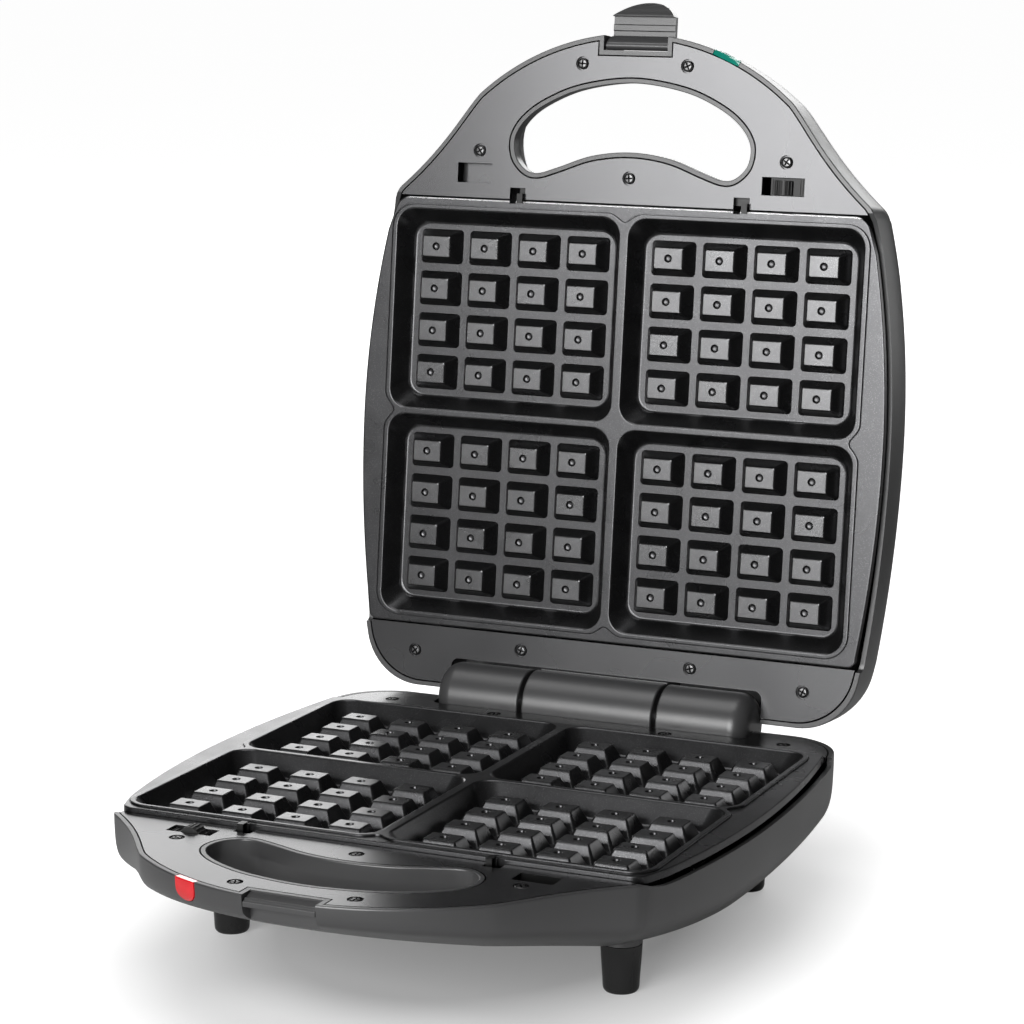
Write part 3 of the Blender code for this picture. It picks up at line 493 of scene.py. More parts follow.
def base_casing():
    shell = casing_shell("base_casing", BASE_WALL, base_depth)
    for x, y in (FOOT_PLACES["foot_front_left"], FOOT_PLACES["foot_front_right"]):
        fit_tool(shell, rod("boss", (x, y, BOSS_MIDDLE), FOOT_RADIUS, BOSS_HEIGHT, sides=48), "UNION")
    fit_tool(shell, lens_tool(RED_LENS, *LENS_POCKET, LENS_GAP))
    fit_tool(shell, rod("gland_hole", (GLAND_X, 138, GLAND_Z), GLAND_RADIUS + 0.3, 16, "Y"))
    return shell


def lid_casing():
    shell = casing_shell("lid_casing", LID_WALL, lid_depth)
    fit_tool(shell, lens_tool(GREEN_LENS, *LENS_POCKET, LENS_GAP))
    return shell


def lens(name, place, wall, depth_at):
    """A clear pad cut to stand just proud of the casing's wall."""
    pad = lens_tool(place, *LENS_PAD)
    pad.name = name
    fit_tool(pad, casing_lump("limit", wall, depth_at, grow=0.35), "INTERSECT")
    soften(pad, 0.35, 3, 40)
    return pad


# -------------------- trims and screws

def seat_screws(trim, places):
    for x, y in places:
        fit_tool(trim, rod("seat", (x, y, 0), SEAT_RADIUS, 2 * SEAT_DEPTH, sides=40))
        fit_tool(trim, rod("hole", (x, y, 0), 1.6, 12, sides=16))


def front_trim():
    trim = slab("front_trim", drawn_in(TRIM_INSET), -TRIM_THICK, 0)
    fit_tool(trim, block("rest_of_it", (-BEYOND, BEYOND), (FRONT_TRIM_END, BEYOND), THROUGH))
    fit_tool(trim, slab("hand", hand_outline(-0.3), *THROUGH))
    room = NOTCH_HALF + TRIM_INSET
    fit_tool(trim, block("notch", (-room, room), (-BEYOND, NOTCH_BACK + TRIM_INSET), THROUGH))
    x0, x1, y0, y1 = BLANK_WINDOW
    fit_tool(trim, block("cup", (x0 - CUP_WALL, x1 + CUP_WALL), (y0 - CUP_WALL, y1 + CUP_WALL),
                         (CUP_FLOOR - CUP_WALL, -1)), "UNION")
    fit_tool(trim, block("window", SLIDER_WINDOW[:2], SLIDER_WINDOW[2:], THROUGH))
    fit_tool(trim, block("window", (x0, x1), (y0, y1), (CUP_FLOOR, THROUGH[1])))
    for x in (-CLIP_X, CLIP_X):
        fit_tool(trim, block("clip_room", (x - CLIP_HALF, x + CLIP_HALF), (CLIP_BACK, -100), THROUGH))
    seat_screws(trim, FRONT_SCREWS)
    soften(trim, 0.3, 2, 60)

    def on_cup_wall(x, y, z, normal):
        in_cup = x0 - 0.2 < x < x1 + 0.2 and y0 - 0.2 < y < y1 + 0.2 and z < -0.6
        return in_cup and abs(normal.z) < 0.5

    paint(trim, "grey_trim")
    paint(trim, "shadow_black", on_cup_wall)
    return trim


def rear_trim():
    trim = slab("rear_trim", drawn_in(TRIM_INSET), -TRIM_THICK, 0)
    fit_tool(trim, block("rest_of_it", (-BEYOND, BEYOND), (-BEYOND, REAR_TRIM_START), THROUGH))
    recess = rounded_rectangle((-RECESS_HALF, RECESS_HALF), (RECESS_Y, 170), 4)
    fit_tool(trim, slab("recess", recess, *THROUGH))
    seat_screws(trim, REAR_SCREWS)
    soften(trim, 0.3, 2, 60)
    return trim


def ring(radius, z, sides=32, centre=(0, 0)):
    return [(centre[0] + radius * math.cos(2 * math.pi * i / sides),
             centre[1] + radius * math.sin(2 * math.pi * i / sides), z) for i in range(sides)]


def screw():
    """A pan head with a cross recess, its top level with the trim."""
    profile = ((1.3, -6), (1.3, -1.3), (2.8, -1.3), (2.8, -0.6), (2.68, -0.32), (2.4, -0.14),
               (1.9, -0.04), (1, 0))
    head = pull_rings("screw", [ring(radius, z, 28) for radius, z in profile])
    for length, width in (CROSS, CROSS[::-1]):
        top = ((-length, -width), (length, -width), (length, width), (-length, width))
        bottom = [(x * 0.6, y * 0.6, -1.2) for x, y in top]
        fit_tool(head, pull_rings("cross", [bottom, [(x, y, 0.3) for x, y in top]]))
    paint(head, "steel")
    paint(head, "shadow_black", lambda x, y, z, normal: math.hypot(x, y) < 2.2 and -1.25 < z < -0.06)
    return head


def screw_set(name, pattern, places):
    """One screw in every seat, each with its own turn, made one piece."""
    copies = []
    for i, (x, y) in enumerate(places):
        copy = second(pattern, name)
        turn = 0.4 + i * 1.1
        stand(copy, Matrix.Translation((x * MM, y * MM, 0)) @ Matrix.Rotation(turn, 4, "Z"))
        copies.append(copy)
    return weld(copies, name)


# -------------------- cooking plate

def flange_outline():
    front_corner = arc((119, -101), 8.3, -90, -14, 8)
    front = side_curve(140, 3, 491, -92, 3, 16)
    rear = side_curve(140, 3, 641, 3, 104, 16)[1:]
    return mirrored([(0, PLATE_FRONT)] + front_corner + front + rear + arc((128, 105), 4, 12, 90, 6))


def plateau_outline():
    """The raised rim's outline, which dips in where the ribs between the pans meet it."""
    depth = 5.1
    quarter = [(depth * (1 - math.sin(math.radians(6 + 12 * i))), 1.6 + i * 1.15) for i in range(8)]
    rear = [(along, 105.7 - drop * 0.85) for drop, along in quarter]
    right = [(127.8 - drop, along) for drop, along in quarter]
    up = ([(127.8 - depth, 0)] + right + arc((115.8, 93.7), 12, 0, 90, 8) + rear[::-1]
          + [(0, 105.7 - depth * 0.85)])
    left = [(-x, y) for x, y in up[::-1] if x > 1e-6]
    lower = [(x, -y) for x, y in (up + left)[::-1] if y > 1e-6]
    return up + left + lower


def pan_level(share, inset=0.0):
    """The pan's outline part of the way down, from its rim at 0 to its floor at 1."""
    xs, ys = ([a + (b - a) * share for a, b in zip(PAN_RIM[k], PAN_FLOOR[k])] for k in (0, 1))
    radius = PAN_RIM[2] + (PAN_FLOOR[2] - PAN_RIM[2]) * share
    return rounded_rectangle((xs[0] + inset, xs[1] - inset), (ys[0] + inset, ys[1] - inset),
                             radius - inset * 0.5, 8)


def pan_tool():
    """Sinks one pan, with a rounded rim and a rounded floor edge."""
    fall = RIM_TOP - PAN_DEPTH
    levels = ((8, 0, -0.7), (RIM_TOP, 0, -0.7), (RIM_TOP - 0.1, 0, -0.35), (RIM_TOP - 0.35, 0.01, -0.1),
              (RIM_TOP - 0.75, 0.06, 0), (-6.9, (RIM_TOP + 6.9) / fall, 0),
              (-7.5, (RIM_TOP + 7.5) / fall, 0.2), (-7.88, 0.99, 0.65), (PAN_DEPTH, 1, 1.2))
    rings = [[(x, y, z) for x, y in pan_level(share, inset)] for z, share, inset in levels]
    return pull_rings("pan_tool", rings)


def peg():
    """A tapered peg with soft edges and a small round pit in its top."""
    def level(z, share, radius, inset=0.0):
        size = [(b + (t - b) * share) / 2 - inset for b, t in zip(PEG_BASE, PEG_TOP)]
        outline = rounded_rectangle((-size[0], size[0]), (-size[1], size[1]), radius, 5)
        return [(x, y, z) for x, y in outline]

    def circle(radius, z):
        reach = (-radius, radius)
        return [(x, y, z) for x, y in rounded_rectangle(reach, reach, radius * 0.999, 5)]

    rings = [level(-8.4, -0.05, 2.2), level(-7.4, 0.07, 2.0), level(-1.2, 0.86, 1.0), level(-0.5, 0.95, 0.8),
             level(-0.15, 0.99, 0.7, 0.15), level(0, 1, 0.6, 0.45), circle(2.1, 0), circle(1.95, -0.15),
             circle(1.75, -0.8), circle(1.35, -1.3), circle(0.7, -1.5), circle(0.25, -1.5)]
    return pull_rings("peg", rings)


def cooking_plate():
    plate = slab("cooking_plate", flange_outline(), *FLANGE, edge=0.6)
    half_x, half_y, corner = PLATE_BODY
    body = rounded_rectangle((-half_x, half_x), (-half_y, half_y), corner)
    fit_tool(plate, slab("body", body, PLATE_BOTTOM, 1), "UNION")
    fit_tool(plate, slab("groove", offset(plateau_outline(), -0.55), GROOVE_FLOOR, 4))
    fit_tool(plate, slab("plateau", plateau_outline(), 0, RIM_TOP, edge=0.45), "UNION")
    pans = pan_tool()
    work(pans, "MIRROR", use_axis=(True, True, False), use_mirror_merge=False)
    fit_tool(plate, pans)
    for x in (-CLIP_X - CLIP_HALF, CLIP_X - CLIP_HALF):
        fit_tool(plate, block("clip_slot", (x + 4, x + 7.6), (-115, -107.9), (-5, 5)))
    pegs = peg()
    for axis, pitch in enumerate(PEG_PITCH):
        step = [0, 0, 0]
        step[axis] = pitch * MM
        work(pegs, "ARRAY", count=4, use_relative_offset=False, use_constant_offset=True,
             constant_offset_displace=step)
    shift = [(c - 1.5 * p) * MM for c, p in zip(PAN_CENTRE, PEG_PITCH)]
    open_up(pegs)
    bpy.ops.mesh.select_all(action="SELECT")
    bpy.ops.transform.translate(value=(shift[0], shift[1], 0))
    put_down()
    work(pegs, "MIRROR", use_axis=(True, True, False), use_mirror_merge=False)
    weld([plate, pegs], "cooking_plate")

    def on_peg_top(x, y, z, normal):
        in_pan = all(low < abs(at) < high for at, (low, high) in zip((x, y), PAN_FLOOR))
        return in_pan and -0.3 < z < 0.1

    paint(plate, "non_stick")
    # Painted highlight: the peg tops are coloured lighter than the rest of the coat, for the light that falls
    # on them.
    paint(plate, "peg_top_painted_highlight", on_peg_top)
    return plate


# -------------------- hinge, latch, release and feet

def knuckle(name, start, end, axis_z, round_start, round_end):
    """A hinge barrel along X, with the block that holds it in its recess."""
    ends = []
    for x, inward, corner in ((start, 1, round_start), (end, -1, round_end)):
        ends.append([(x + inward * corner * (1 - math.sin(a)), BARREL_RADIUS - corner * (1 - math.cos(a)))
                     for a in (math.radians(90 - 10 * k) for k in range(10))])
    line = [(start, ends[0][0][1] - 1.5)] + ends[0] + ends[1][::-1] + [(end, ends[1][0][1] - 1.5)]
    rings = [[(x, HINGE_Y / MM + radius * math.cos(a), axis_z + radius * math.sin(a))
              for a in (2 * math.pi * i / 56 for i in range(56))] for x, radius in line]
    barrel = pull_rings(name, rings)
    inset = [corner * 0.5 if corner > 3 else 0.3 for corner in (round_start, round_end)]
    holder = block("holder", (start + inset[0], end - inset[1]), (RECESS_Y + 0.3, 141),
                   (RECESS_FLOOR + 0.3, KNUCKLE_TOP))
    soften(holder, 0.8, 3)
    fit_tool(barrel, holder, "UNION")
    return barrel


def latch():
    """A flap on a barrel, with a hook inside its end and a thumb tab curled outwards."""
    y, z = LATCH_PIVOT
    bend = smooth_curve(((-14.9, -4.7), (-15.5, -4.6), (-17.6, -7.6), (-19.8, -10.6), (-22.4, -14.9),
                         (-21.6, -16.6), (-18.6, -13.4), (-15.6, -9.9), (-13, -9.6)), 3, closed=False)
    hook = [(-2.0, 0.9), (-4.2, -2.2), (-5.4, -7.1), (-7.6, -7.1), (-8.1, -6.5), (-10.6, -6.5),
            (-11.1, -7.1), (-14.9, -7.1)]
    outline = hook + bend + [(-5, -9.6), (-3, -8.2), (-1.2, -3), (-0.4, -2.1)]
    flap = side_slab("latch", [(y + a, z + b) for a, b in outline], -LATCH_HALF, LATCH_HALF)
    fit_tool(flap, rod("barrel", (0, y, z), 2.2, 2 * LATCH_HALF, "X"), "UNION")
    fit_tool(flap, rod("round", (0, y - 0.4, z - 8.35), 22, 60, "Z", 96), "INTERSECT")
    soften(flap, 0.25, 2, 45)
    return flap


def catch_bar():
    profile = [(-193.2, -5.2), (-193.2, -3), (-191.8, -2.5), (-191.2, -1.7), (-190.5, -1.7), (-190.1, -2),
               (-187, -0.9), (-186.1, -0.9), (-186.1, -5.2)]
    bar = side_slab("catch_bar", profile, -NOTCH_HALF + 0.3, NOTCH_HALF - 0.3)
    soften(bar, 0.2, 2, 30)
    return bar


def release_slider():
    """A thumb slider with a half-round tab that is ribbed for grip."""
    x0, x1, y0, y1 = SLIDER_WINDOW
    slider = block("release_slider", (x0 + 0.3, x1 - 4.3), (y0 + 0.3, y1 - 0.3), (-2.9, -1.4))
    tab_x, tab_y, tab_z, tab_radius = -81, -121.6, -2.9, 5.1
    tab = rod("tab", (tab_x, tab_y, tab_z), tab_radius, 7, "Y", 64)
    for i in range(-3, 4):
        turn = math.radians(i * 19)
        rib_x = tab_x + (tab_radius - 0.05) * math.sin(turn)
        rib_z = tab_z + (tab_radius - 0.05) * math.cos(turn)
        fit_tool(tab, rod("rib", (rib_x, tab_y, rib_z), 0.36, 6.4, "Y", 10), "UNION")
    fit_tool(tab, block("below", (-95, -60), (-130, -110), (-20, -2.2)))
    fit_tool(slider, tab, "UNION")
    for x in (x0 + 1.1, x0 + 2.4, x1 - 6.7, x1 - 5.4):
        fit_tool(slider, block("rib", (x, x + 0.6), (y0 + 0.9, y1 - 0.9), (-2, -0.9)), "UNION")
    paint(slider, "thumb_grip")
    return slider


def foot(name):
    """A tapered leg with a rounded end."""
    x, y = FOOT_PLACES[name]
    profile = ((FOOT_RADIUS, FOOT_TOP), (8.9, -52), (8.3, -60), (8.1, -64.2), (7.9, -65.4), (7.4, -66.2),
               (7.1, -66.5))
    return pull_rings(name, [ring(radius, z, 40, (x, y)) for radius, z in profile])


def cord_gland_piece():
    """The flanged bush in the rear wall, with an open bore."""
    bush = rod("bush_with_bore", (GLAND_X, 138.9, GLAND_Z), GLAND_RADIUS, 7.4, "Y", 48)
    flange = rod("flange", (GLAND_X, 142.55, GLAND_Z), 7.3, 1.7, "Y", 48)
    soften(flange, 0.7, 3)
    fit_tool(bush, flange, "UNION")
    fit_tool(bush, rod("bore", (GLAND_X, 139, GLAND_Z), 3.2, 20, "Y", 40))
    return bush


# -------------------- effects shared by the finishes

def effect(name, inputs, outputs):
    """An empty shader group with named inputs and outputs."""
    group = bpy.data.node_groups.new(name, "ShaderNodeTree")
    for label, value in inputs:
        socket = group.interface.new_socket(label, in_out="INPUT", socket_type="NodeSocketFloat")
        socket.default_value = value
    for label in outputs:
        group.interface.new_socket(label, in_out="OUTPUT", socket_type="NodeSocketFloat")
    return group, group.nodes.new("NodeGroupInput"), group.nodes.new("NodeGroupOutput")


def node(tree, kind, **values):
    fresh = tree.nodes.new(kind)
    for key, value in values.items():
        fresh.inputs[key.replace("_", " ")].default_value = value
    return fresh


def join_up(tree, *wires):
    for start, end in wires:
        tree.links.new(start, end)


def spread(tree, value, low, high, to_low, to_high):
    """Map a value from one range to another, clamped."""
    ramp = tree.nodes.new("ShaderNodeMapRange")
    for key, number in zip(("From Min", "From Max", "To Min", "To Max"), (low, high, to_low, to_high)):
        ramp.inputs[key].default_value = number
    tree.links.new(value, ramp.inputs["Value"])
    return ramp.outputs["Result"]


def reckon(tree, first, second, kind="MULTIPLY"):
    """Reckon with two values, either of which may be a plain number."""
    sums = tree.nodes.new("ShaderNodeMath")
    sums.operation = kind
    for socket, value in zip(sums.inputs, (first, second)):
        if isinstance(value, (int, float)):
            socket.default_value = value
        else:
            tree.links.new(value, socket)
    return sums.outputs[0]


def on_piece(tree):
    """Where a point lies on its own piece."""
    return tree.nodes.new("ShaderNodeTexCoord").outputs["Object"]


def per_metre(tree, size):
    """How often something of this size repeats in a metre."""
    return reckon(tree, 1, size, "DIVIDE")


def make_fine_grain():
    """Spark-eroded mould texture: small soft pits, and a slow change of tone over the piece."""
    group, given, result = effect("fine_grain", (("Grain Size", 0.0006), ("Tone Size", 0.08)),
                                  ("Height", "Tone"))
    place = on_piece(group)
    pits = node(group, "ShaderNodeTexNoise", Detail=3, Roughness=0.62)
    slow = node(group, "ShaderNodeTexNoise", Detail=2, Roughness=0.5)
    join_up(group, (place, pits.inputs["Vector"]), (place, slow.inputs["Vector"]),
            (per_metre(group, given.outputs["Grain Size"]), pits.inputs["Scale"]),
            (per_metre(group, given.outputs["Tone Size"]), slow.inputs["Scale"]),
            (pits.outputs["Fac"], result.inputs["Height"]),
            (spread(group, slow.outputs["Fac"], 0.3, 0.7, 0, 1), result.inputs["Tone"]))
    return group


def make_handling():
    """Where hands have polished or dulled a surface, in broad smears."""
    group, given, result = effect("handling", (("Smear Size", 0.03), ("Amount", 0.1),
                                               ("Base Roughness", 0.4)), ("Roughness",))
    place = on_piece(group)
    broad = node(group, "ShaderNodeTexNoise", Detail=2, Roughness=0.5, Distortion=0.2)
    join_up(group, (place, broad.inputs["Vector"]),
            (per_metre(group, given.outputs["Smear Size"]), broad.inputs["Scale"]))
    smears = spread(group, broad.outputs["Fac"], 0.2, 0.8, -0.5, 0.5)
    change = reckon(group, smears, given.outputs["Amount"])
    rough = reckon(group, given.outputs["Base Roughness"], change, "ADD")
    join_up(group, (rough, result.inputs["Roughness"]))
    return group


def make_flake():
    """Fine metal flakes in a paint: each cell catches the light a little differently."""
    group, given, result = effect("metal_flake", (("Flake Size", 0.00025), ("Contrast", 0.2)),
                                  ("Sparkle", "Height"))
    place = on_piece(group)
    cells = node(group, "ShaderNodeTexVoronoi")
    split = group.nodes.new("ShaderNodeSeparateColor")
    join_up(group, (place, cells.inputs["Vector"]),
            (per_metre(group, given.outputs["Flake Size"]), cells.inputs["Scale"]),
            (cells.outputs["Color"], split.inputs["Color"]))
    shifted = reckon(group, reckon(group, split.outputs["Red"], 0.5, "SUBTRACT"), given.outputs["Contrast"])
    join_up(group, (shifted, result.inputs["Sparkle"]), (split.outputs["Green"], result.inputs["Height"]))
    return group


def make_speckle():
    """The sprayed coat of a cooking plate: tiny pale specks and a pebbled skin."""
    group, given, result = effect("coat_speckle", (("Speck Size", 0.0009), ("Skin Size", 0.0005)),
                                  ("Specks", "Height"))
    place = on_piece(group)
    specks = node(group, "ShaderNodeTexVoronoi", Randomness=1)
    skin = node(group, "ShaderNodeTexNoise", Detail=2, Roughness=0.7)
    join_up(group, (place, specks.inputs["Vector"]), (place, skin.inputs["Vector"]),
            (per_metre(group, given.outputs["Speck Size"]), specks.inputs["Scale"]),
            (per_metre(group, given.outputs["Skin Size"]), skin.inputs["Scale"]),
            (spread(group, specks.outputs["Distance"], 0.12, 0.3, 1, 0), result.inputs["Specks"]),
            (skin.outputs["Fac"], result.inputs["Height"]))
    return group


def make_brushing():
    """Fine lines left by turning or drawing, running along X."""
    group, given, result = effect("brushing", (("Line Size", 0.0004), ("Length", 0.02)), ("Lines",))
    place = on_piece(group)
    stretch = group.nodes.new("ShaderNodeCombineXYZ")
    finer = per_metre(group, given.outputs["Line Size"])
    scale = group.nodes.new("ShaderNodeVectorMath")
    scale.operation = "MULTIPLY"
    lines = node(group, "ShaderNodeTexNoise", Scale=1, Detail=3, Roughness=0.6)
    join_up(group, (per_metre(group, given.outputs["Length"]), stretch.inputs["X"]),
            (finer, stretch.inputs["Y"]), (finer, stretch.inputs["Z"]), (place, scale.inputs[0]),
            (stretch.outputs["Vector"], scale.inputs[1]), (scale.outputs["Vector"], lines.inputs["Vector"]),
            (lines.outputs["Fac"], result.inputs["Lines"]))
    return group


EFFECTS = {"fine_grain": make_fine_grain(), "handling": make_handling(), "metal_flake": make_flake(),
           "coat_speckle": make_speckle(), "brushing": make_brushing()}


# -------------------- finishes

class Finish:
    """One material: a shader with its plain values set on it, and the effects that feed it."""

    def __init__(self, name, **plain):
        self.material = bpy.data.materials.new(name)
        self.material.use_nodes = True
        self.tree = self.material.node_tree
        self.shader = self.tree.nodes["Principled BSDF"]
        for key, value in plain.items():
            self.shader.inputs[key.replace("_", " ")].default_value = value

    def effect(self, name, **values):
        placed = self.tree.nodes.new("ShaderNodeGroup")
        placed.node_tree = EFFECTS[name]
        for key, value in values.items():
            placed.inputs[key.replace("_", " ")].default_value = value
        return placed

    def feed(self, label, socket):
        self.tree.links.new(socket, self.shader.inputs[label])

    def tint(self, mask, low, high):
        """The base colour runs between two colours with a mask."""
        mix = self.tree.nodes.new("ShaderNodeMix")
        mix.data_type = "RGBA"
        colour_a, colour_b = (s for s in mix.inputs if s.type == "RGBA")
        colour_a.default_value = (*low, 1)
        colour_b.default_value = (*high, 1)
        self.tree.links.new(mask, mix.inputs[0])
        self.feed("Base Color", next(s for s in mix.outputs if s.type == "RGBA"))

    def relief(self, height, depth, distance=0.0001):
        bump = self.tree.nodes.new("ShaderNodeBump")
        bump.inputs["Strength"].default_value = depth
        bump.inputs["Distance"].default_value = distance
        self.tree.links.new(height, bump.inputs["Height"])
        self.feed("Normal", bump.outputs["Normal"])

    def worn(self, size, amount, base):
        """Hands have changed the roughness a little, in smears of this size."""
        smears = self.effect("handling", Smear_Size=size, Amount=amount, Base_Roughness=base)
        self.feed("Roughness", smears.outputs["Roughness"])


def moulded(name, dark, light, roughness, grain_depth=0.25, grain_size=0.0006, wear=0.12, **plain):
    finish = Finish(name, **plain)
    grain = finish.effect("fine_grain", Grain_Size=grain_size)
    finish.tint(grain.outputs["Tone"], dark, light)
    finish.worn(0.03, wear, roughness)
    finish.relief(grain.outputs["Height"], grain_depth)
    return finish.material


def painted_trim():
    finish = Finish("metallic_grey_paint", Metallic=0.95, Coat_Weight=0.1, Coat_Roughness=0.12)
    flake = finish.effect("metal_flake", Flake_Size=0.0003, Contrast=0.25)
    slow = finish.effect("fine_grain", Tone_Size=0.12)
    finish.tint(reckon(finish.tree, slow.outputs["Tone"], flake.outputs["Sparkle"], "ADD"),
                (0.075, 0.075, 0.077), (0.1, 0.1, 0.102))
    finish.worn(0.06, 0.04, 0.27)
    finish.relief(flake.outputs["Height"], 0.02, 0.00003)
    return finish.material


def non_stick(name, dark, light, coat):
    finish = Finish(name, Metallic=0.9, Specular_IOR_Level=0.55, Coat_Weight=coat, Coat_Roughness=0.25)
    speckle = finish.effect("coat_speckle", Speck_Size=0.0007)
    finish.tint(speckle.outputs["Specks"], dark, light)
    finish.worn(0.02, 0.1, 0.29)
    finish.relief(speckle.outputs["Height"], 0.35, 0.00006)
    return finish.material


def metal(name, dark, light, roughness, line_size=0.0004):
    finish = Finish(name, Metallic=1.0)
    lines = finish.effect("brushing", Line_Size=line_size)
    finish.tint(lines.outputs["Lines"], dark, light)
    finish.worn(0.01, 0.16, roughness)
    finish.relief(lines.outputs["Lines"], 0.12, 0.00005)
    return finish.material


def clear_moulding(name, dark, light, through, glow=None):
    plain = {"Transmission_Weight": through, "IOR": 1.49, "Coat_Weight": 0.5, "Coat_Roughness": 0.04}
    if glow:
        plain.update(Emission_Color=(*glow, 1), Emission_Strength=0.15)
    finish = Finish(name, **plain)
    grain = finish.effect("fine_grain", Grain_Size=0.002, Tone_Size=0.01)
    finish.tint(grain.outputs["Tone"], dark, light)
    finish.worn(0.01, 0.05, 0.12)
    return finish.material


FINISHES = {
    "satin_plastic": moulded("satin_dark_grey", (0.044, 0.044, 0.045), (0.052, 0.052, 0.053), 0.34, wear=0.03,
                             Specular_IOR_Level=0.8),
    "shadow_black": moulded("unlit_recess", (0.004, 0.004, 0.004), (0.006, 0.006, 0.006), 0.7,
                            Specular_IOR_Level=0.1),
    "gloss_plastic": moulded("glossy_black", (0.012, 0.012, 0.012), (0.018, 0.018, 0.018), 0.16, 0.05,
                             wear=0.08),
    "grey_trim": painted_trim(),
    "non_stick": non_stick("non_stick_coat", (0.06, 0.06, 0.062), (0.13, 0.13, 0.133), 0.1),
    # Painted highlight: a lighter copy of the coat, put on the peg tops.
    "peg_top_painted_highlight": non_stick("non_stick_peg_tops", (0.09, 0.09, 0.092), (0.16, 0.16, 0.163), 0.15),
    "steel": metal("dark_steel", (0.1, 0.1, 0.102), (0.2, 0.2, 0.2), 0.34),
    "near_black_steel": metal("near_black_steel", (0.02, 0.02, 0.02), (0.05, 0.05, 0.05), 0.4),
    "thumb_grip": moulded("matte_black_grip", (0.01, 0.01, 0.01), (0.016, 0.016, 0.016), 0.45, 0.4, wear=0.1),
    "bright_steel": metal("plain_steel", (0.42, 0.42, 0.43), (0.6, 0.6, 0.6), 0.3),
    "bright_metal": metal("pressed_aluminium", (0.6, 0.6, 0.61), (0.78, 0.78, 0.78), 0.26, 0.0008),
    "ceramic": moulded("fired_ceramic", (0.66, 0.64, 0.59), (0.76, 0.74, 0.7), 0.55, 0.3, 0.0012),
    "lamp_glass": clear_moulding("neon_tube", (0.75, 0.6, 0.5), (0.85, 0.72, 0.62), 0.7),
    "red_lens": clear_moulding("clear_red", (0.5, 0.004, 0.008), (0.7, 0.01, 0.018), 0.2, (0.9, 0.01, 0.02)),
    "green_lens": clear_moulding("clear_green", (0.004, 0.15, 0.11), (0.01, 0.25, 0.19), 0.2,
                                 (0.01, 0.4, 0.28))}


# -------------------- assembly

HALVES = {"base": BASE_HALF, "lid": LID_HALF}
SLOTS = {subpart["node"]: subpart["material_slot"] for subpart in frame["record"]["subparts"]}
# Edges sharper than this, in degrees, stay crisp.
CREASE = 38
PLATE_CREASE = 20


def fit_up(piece, body, *nodes, half=None, flat=False, crease=CREASE):
    """Shade a finished piece, carry it to its half, finish it and let it ride."""
    if not flat:
        smooth(piece, crease)
    stand(piece, HALVES[half or body])
    slot = SLOTS[nodes[0]]
    if not piece.data.materials:
        paint(piece, slot)
    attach(piece, body)
    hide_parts(*nodes)


def numbered(stem, count):
    return [f"{stem}_{i}" for i in range(1, count + 1)]


def build_shells():
    fit_up(base_casing(), "base", "lower_casing")
    fit_up(lid_casing(), "lid", "upper_casing")
    front = front_trim()
    rear = rear_trim()
    for body, side in (("base", "lower"), ("lid", "upper")):
        fit_up(second(front, f"{body}_front_trim"), body, f"{side}_front_trim", flat=True)
        fit_up(second(rear, f"{body}_rear_trim"), body, f"{side}_rear_trim", flat=True)
    scrap(front, rear)


def build_plates():
    plate = cooking_plate()
    pattern = screw()
    for body, side in (("base", "lower"), ("lid", "upper")):
        copy = second(plate, f"{body}_cooking_plate")
        if body == "lid":
            # Painted highlight: bright metal on its front edge stands in for the line of light that edge
            # catches.
            paint(copy, "bright_metal", lambda x, y, z, normal: y < PLATE_FRONT + 1 and 0.9 < z < 1.999)
        fit_up(copy, body, f"{side}_plate", crease=PLATE_CREASE)
        nodes = numbered(f"{side}_front_screw", 5) + numbered(f"{side}_rear_screw", 4)
        screws = screw_set(f"{body}_screws", pattern, FRONT_SCREWS + REAR_SCREWS)
        fit_up(screws, body, *nodes)
    scrap(plate, pattern)


def build_hinge_and_latch():
    for side, low, high, ends in OUTER_KNUCKLES:
        piece = knuckle(f"{side}_knuckle", low, high, HINGE_Z / MM, *ends)
        fit_up(piece, "base", f"hinge_knuckle_{side}")
    centre = knuckle("centre_knuckle", *CENTRE_KNUCKLE, HALF_SPACING / MM - HINGE_Z / MM, 1, 1)
    fit_up(centre, "lid", "hinge_knuckle_centre")
    fit_up(latch(), "latch", "latch", half="lid")
    fit_up(catch_bar(), "base", "catch_bar")


def build_small_pieces():
    slider = release_slider()
    for body, side in (("base", "lower"), ("lid", "upper")):
        fit_up(second(slider, f"{side}_slider"), f"{side}_release", f"{side}_release_slider", half=body)
    scrap(slider)
    for name in FOOT_PLACES:
        leg = foot(name)
        leg.name = name + "_leg"
        fit_up(leg, "base", name)
    fit_up(lens("red_power_lens", RED_LENS, BASE_WALL, base_depth), "base", "power_lens")
    fit_up(lens("green_ready_lens", GREEN_LENS, LID_WALL, lid_depth), "lid", "ready_lens")
    fit_up(cord_gland_piece(), "base", "cord_gland")


def finish_inner_pieces():
    """The metal and ceramic pieces that stay as they are get their finishes too."""
    for subpart in frame["record"]["subparts"]:
        piece = frame["nodes"].get(subpart["node"])
        if piece is None or piece.hide_render:
            continue
        finish = subpart["material_slot"]
        # The lock bars get a near-black steel, darker than the other steel pieces.
        if finish == "steel":
            finish = "near_black_steel" if "lock_bar" in subpart["node"] else "bright_steel"
        for place in piece.material_slots:
            place.material = FINISHES[finish]


# -------------------- studio

FLOOR_SIZE = 60
# The floor's glow is dim within reach of the piece's footprint and full far off: a painted shadow under the
# piece.
FLOOR_GLOW_AND_PAINTED_SHADOW = (0.16, 0.95)
PAINTED_SHADOW_REACH = (0.6, 1.42)
FLOOR_BOUNCE = (0.7, 0.2)
BOUNCE_REACH = (1.5, 4)
FOOTPRINT = (0.15, 0.21)
ROOM_LIGHT = 0.05
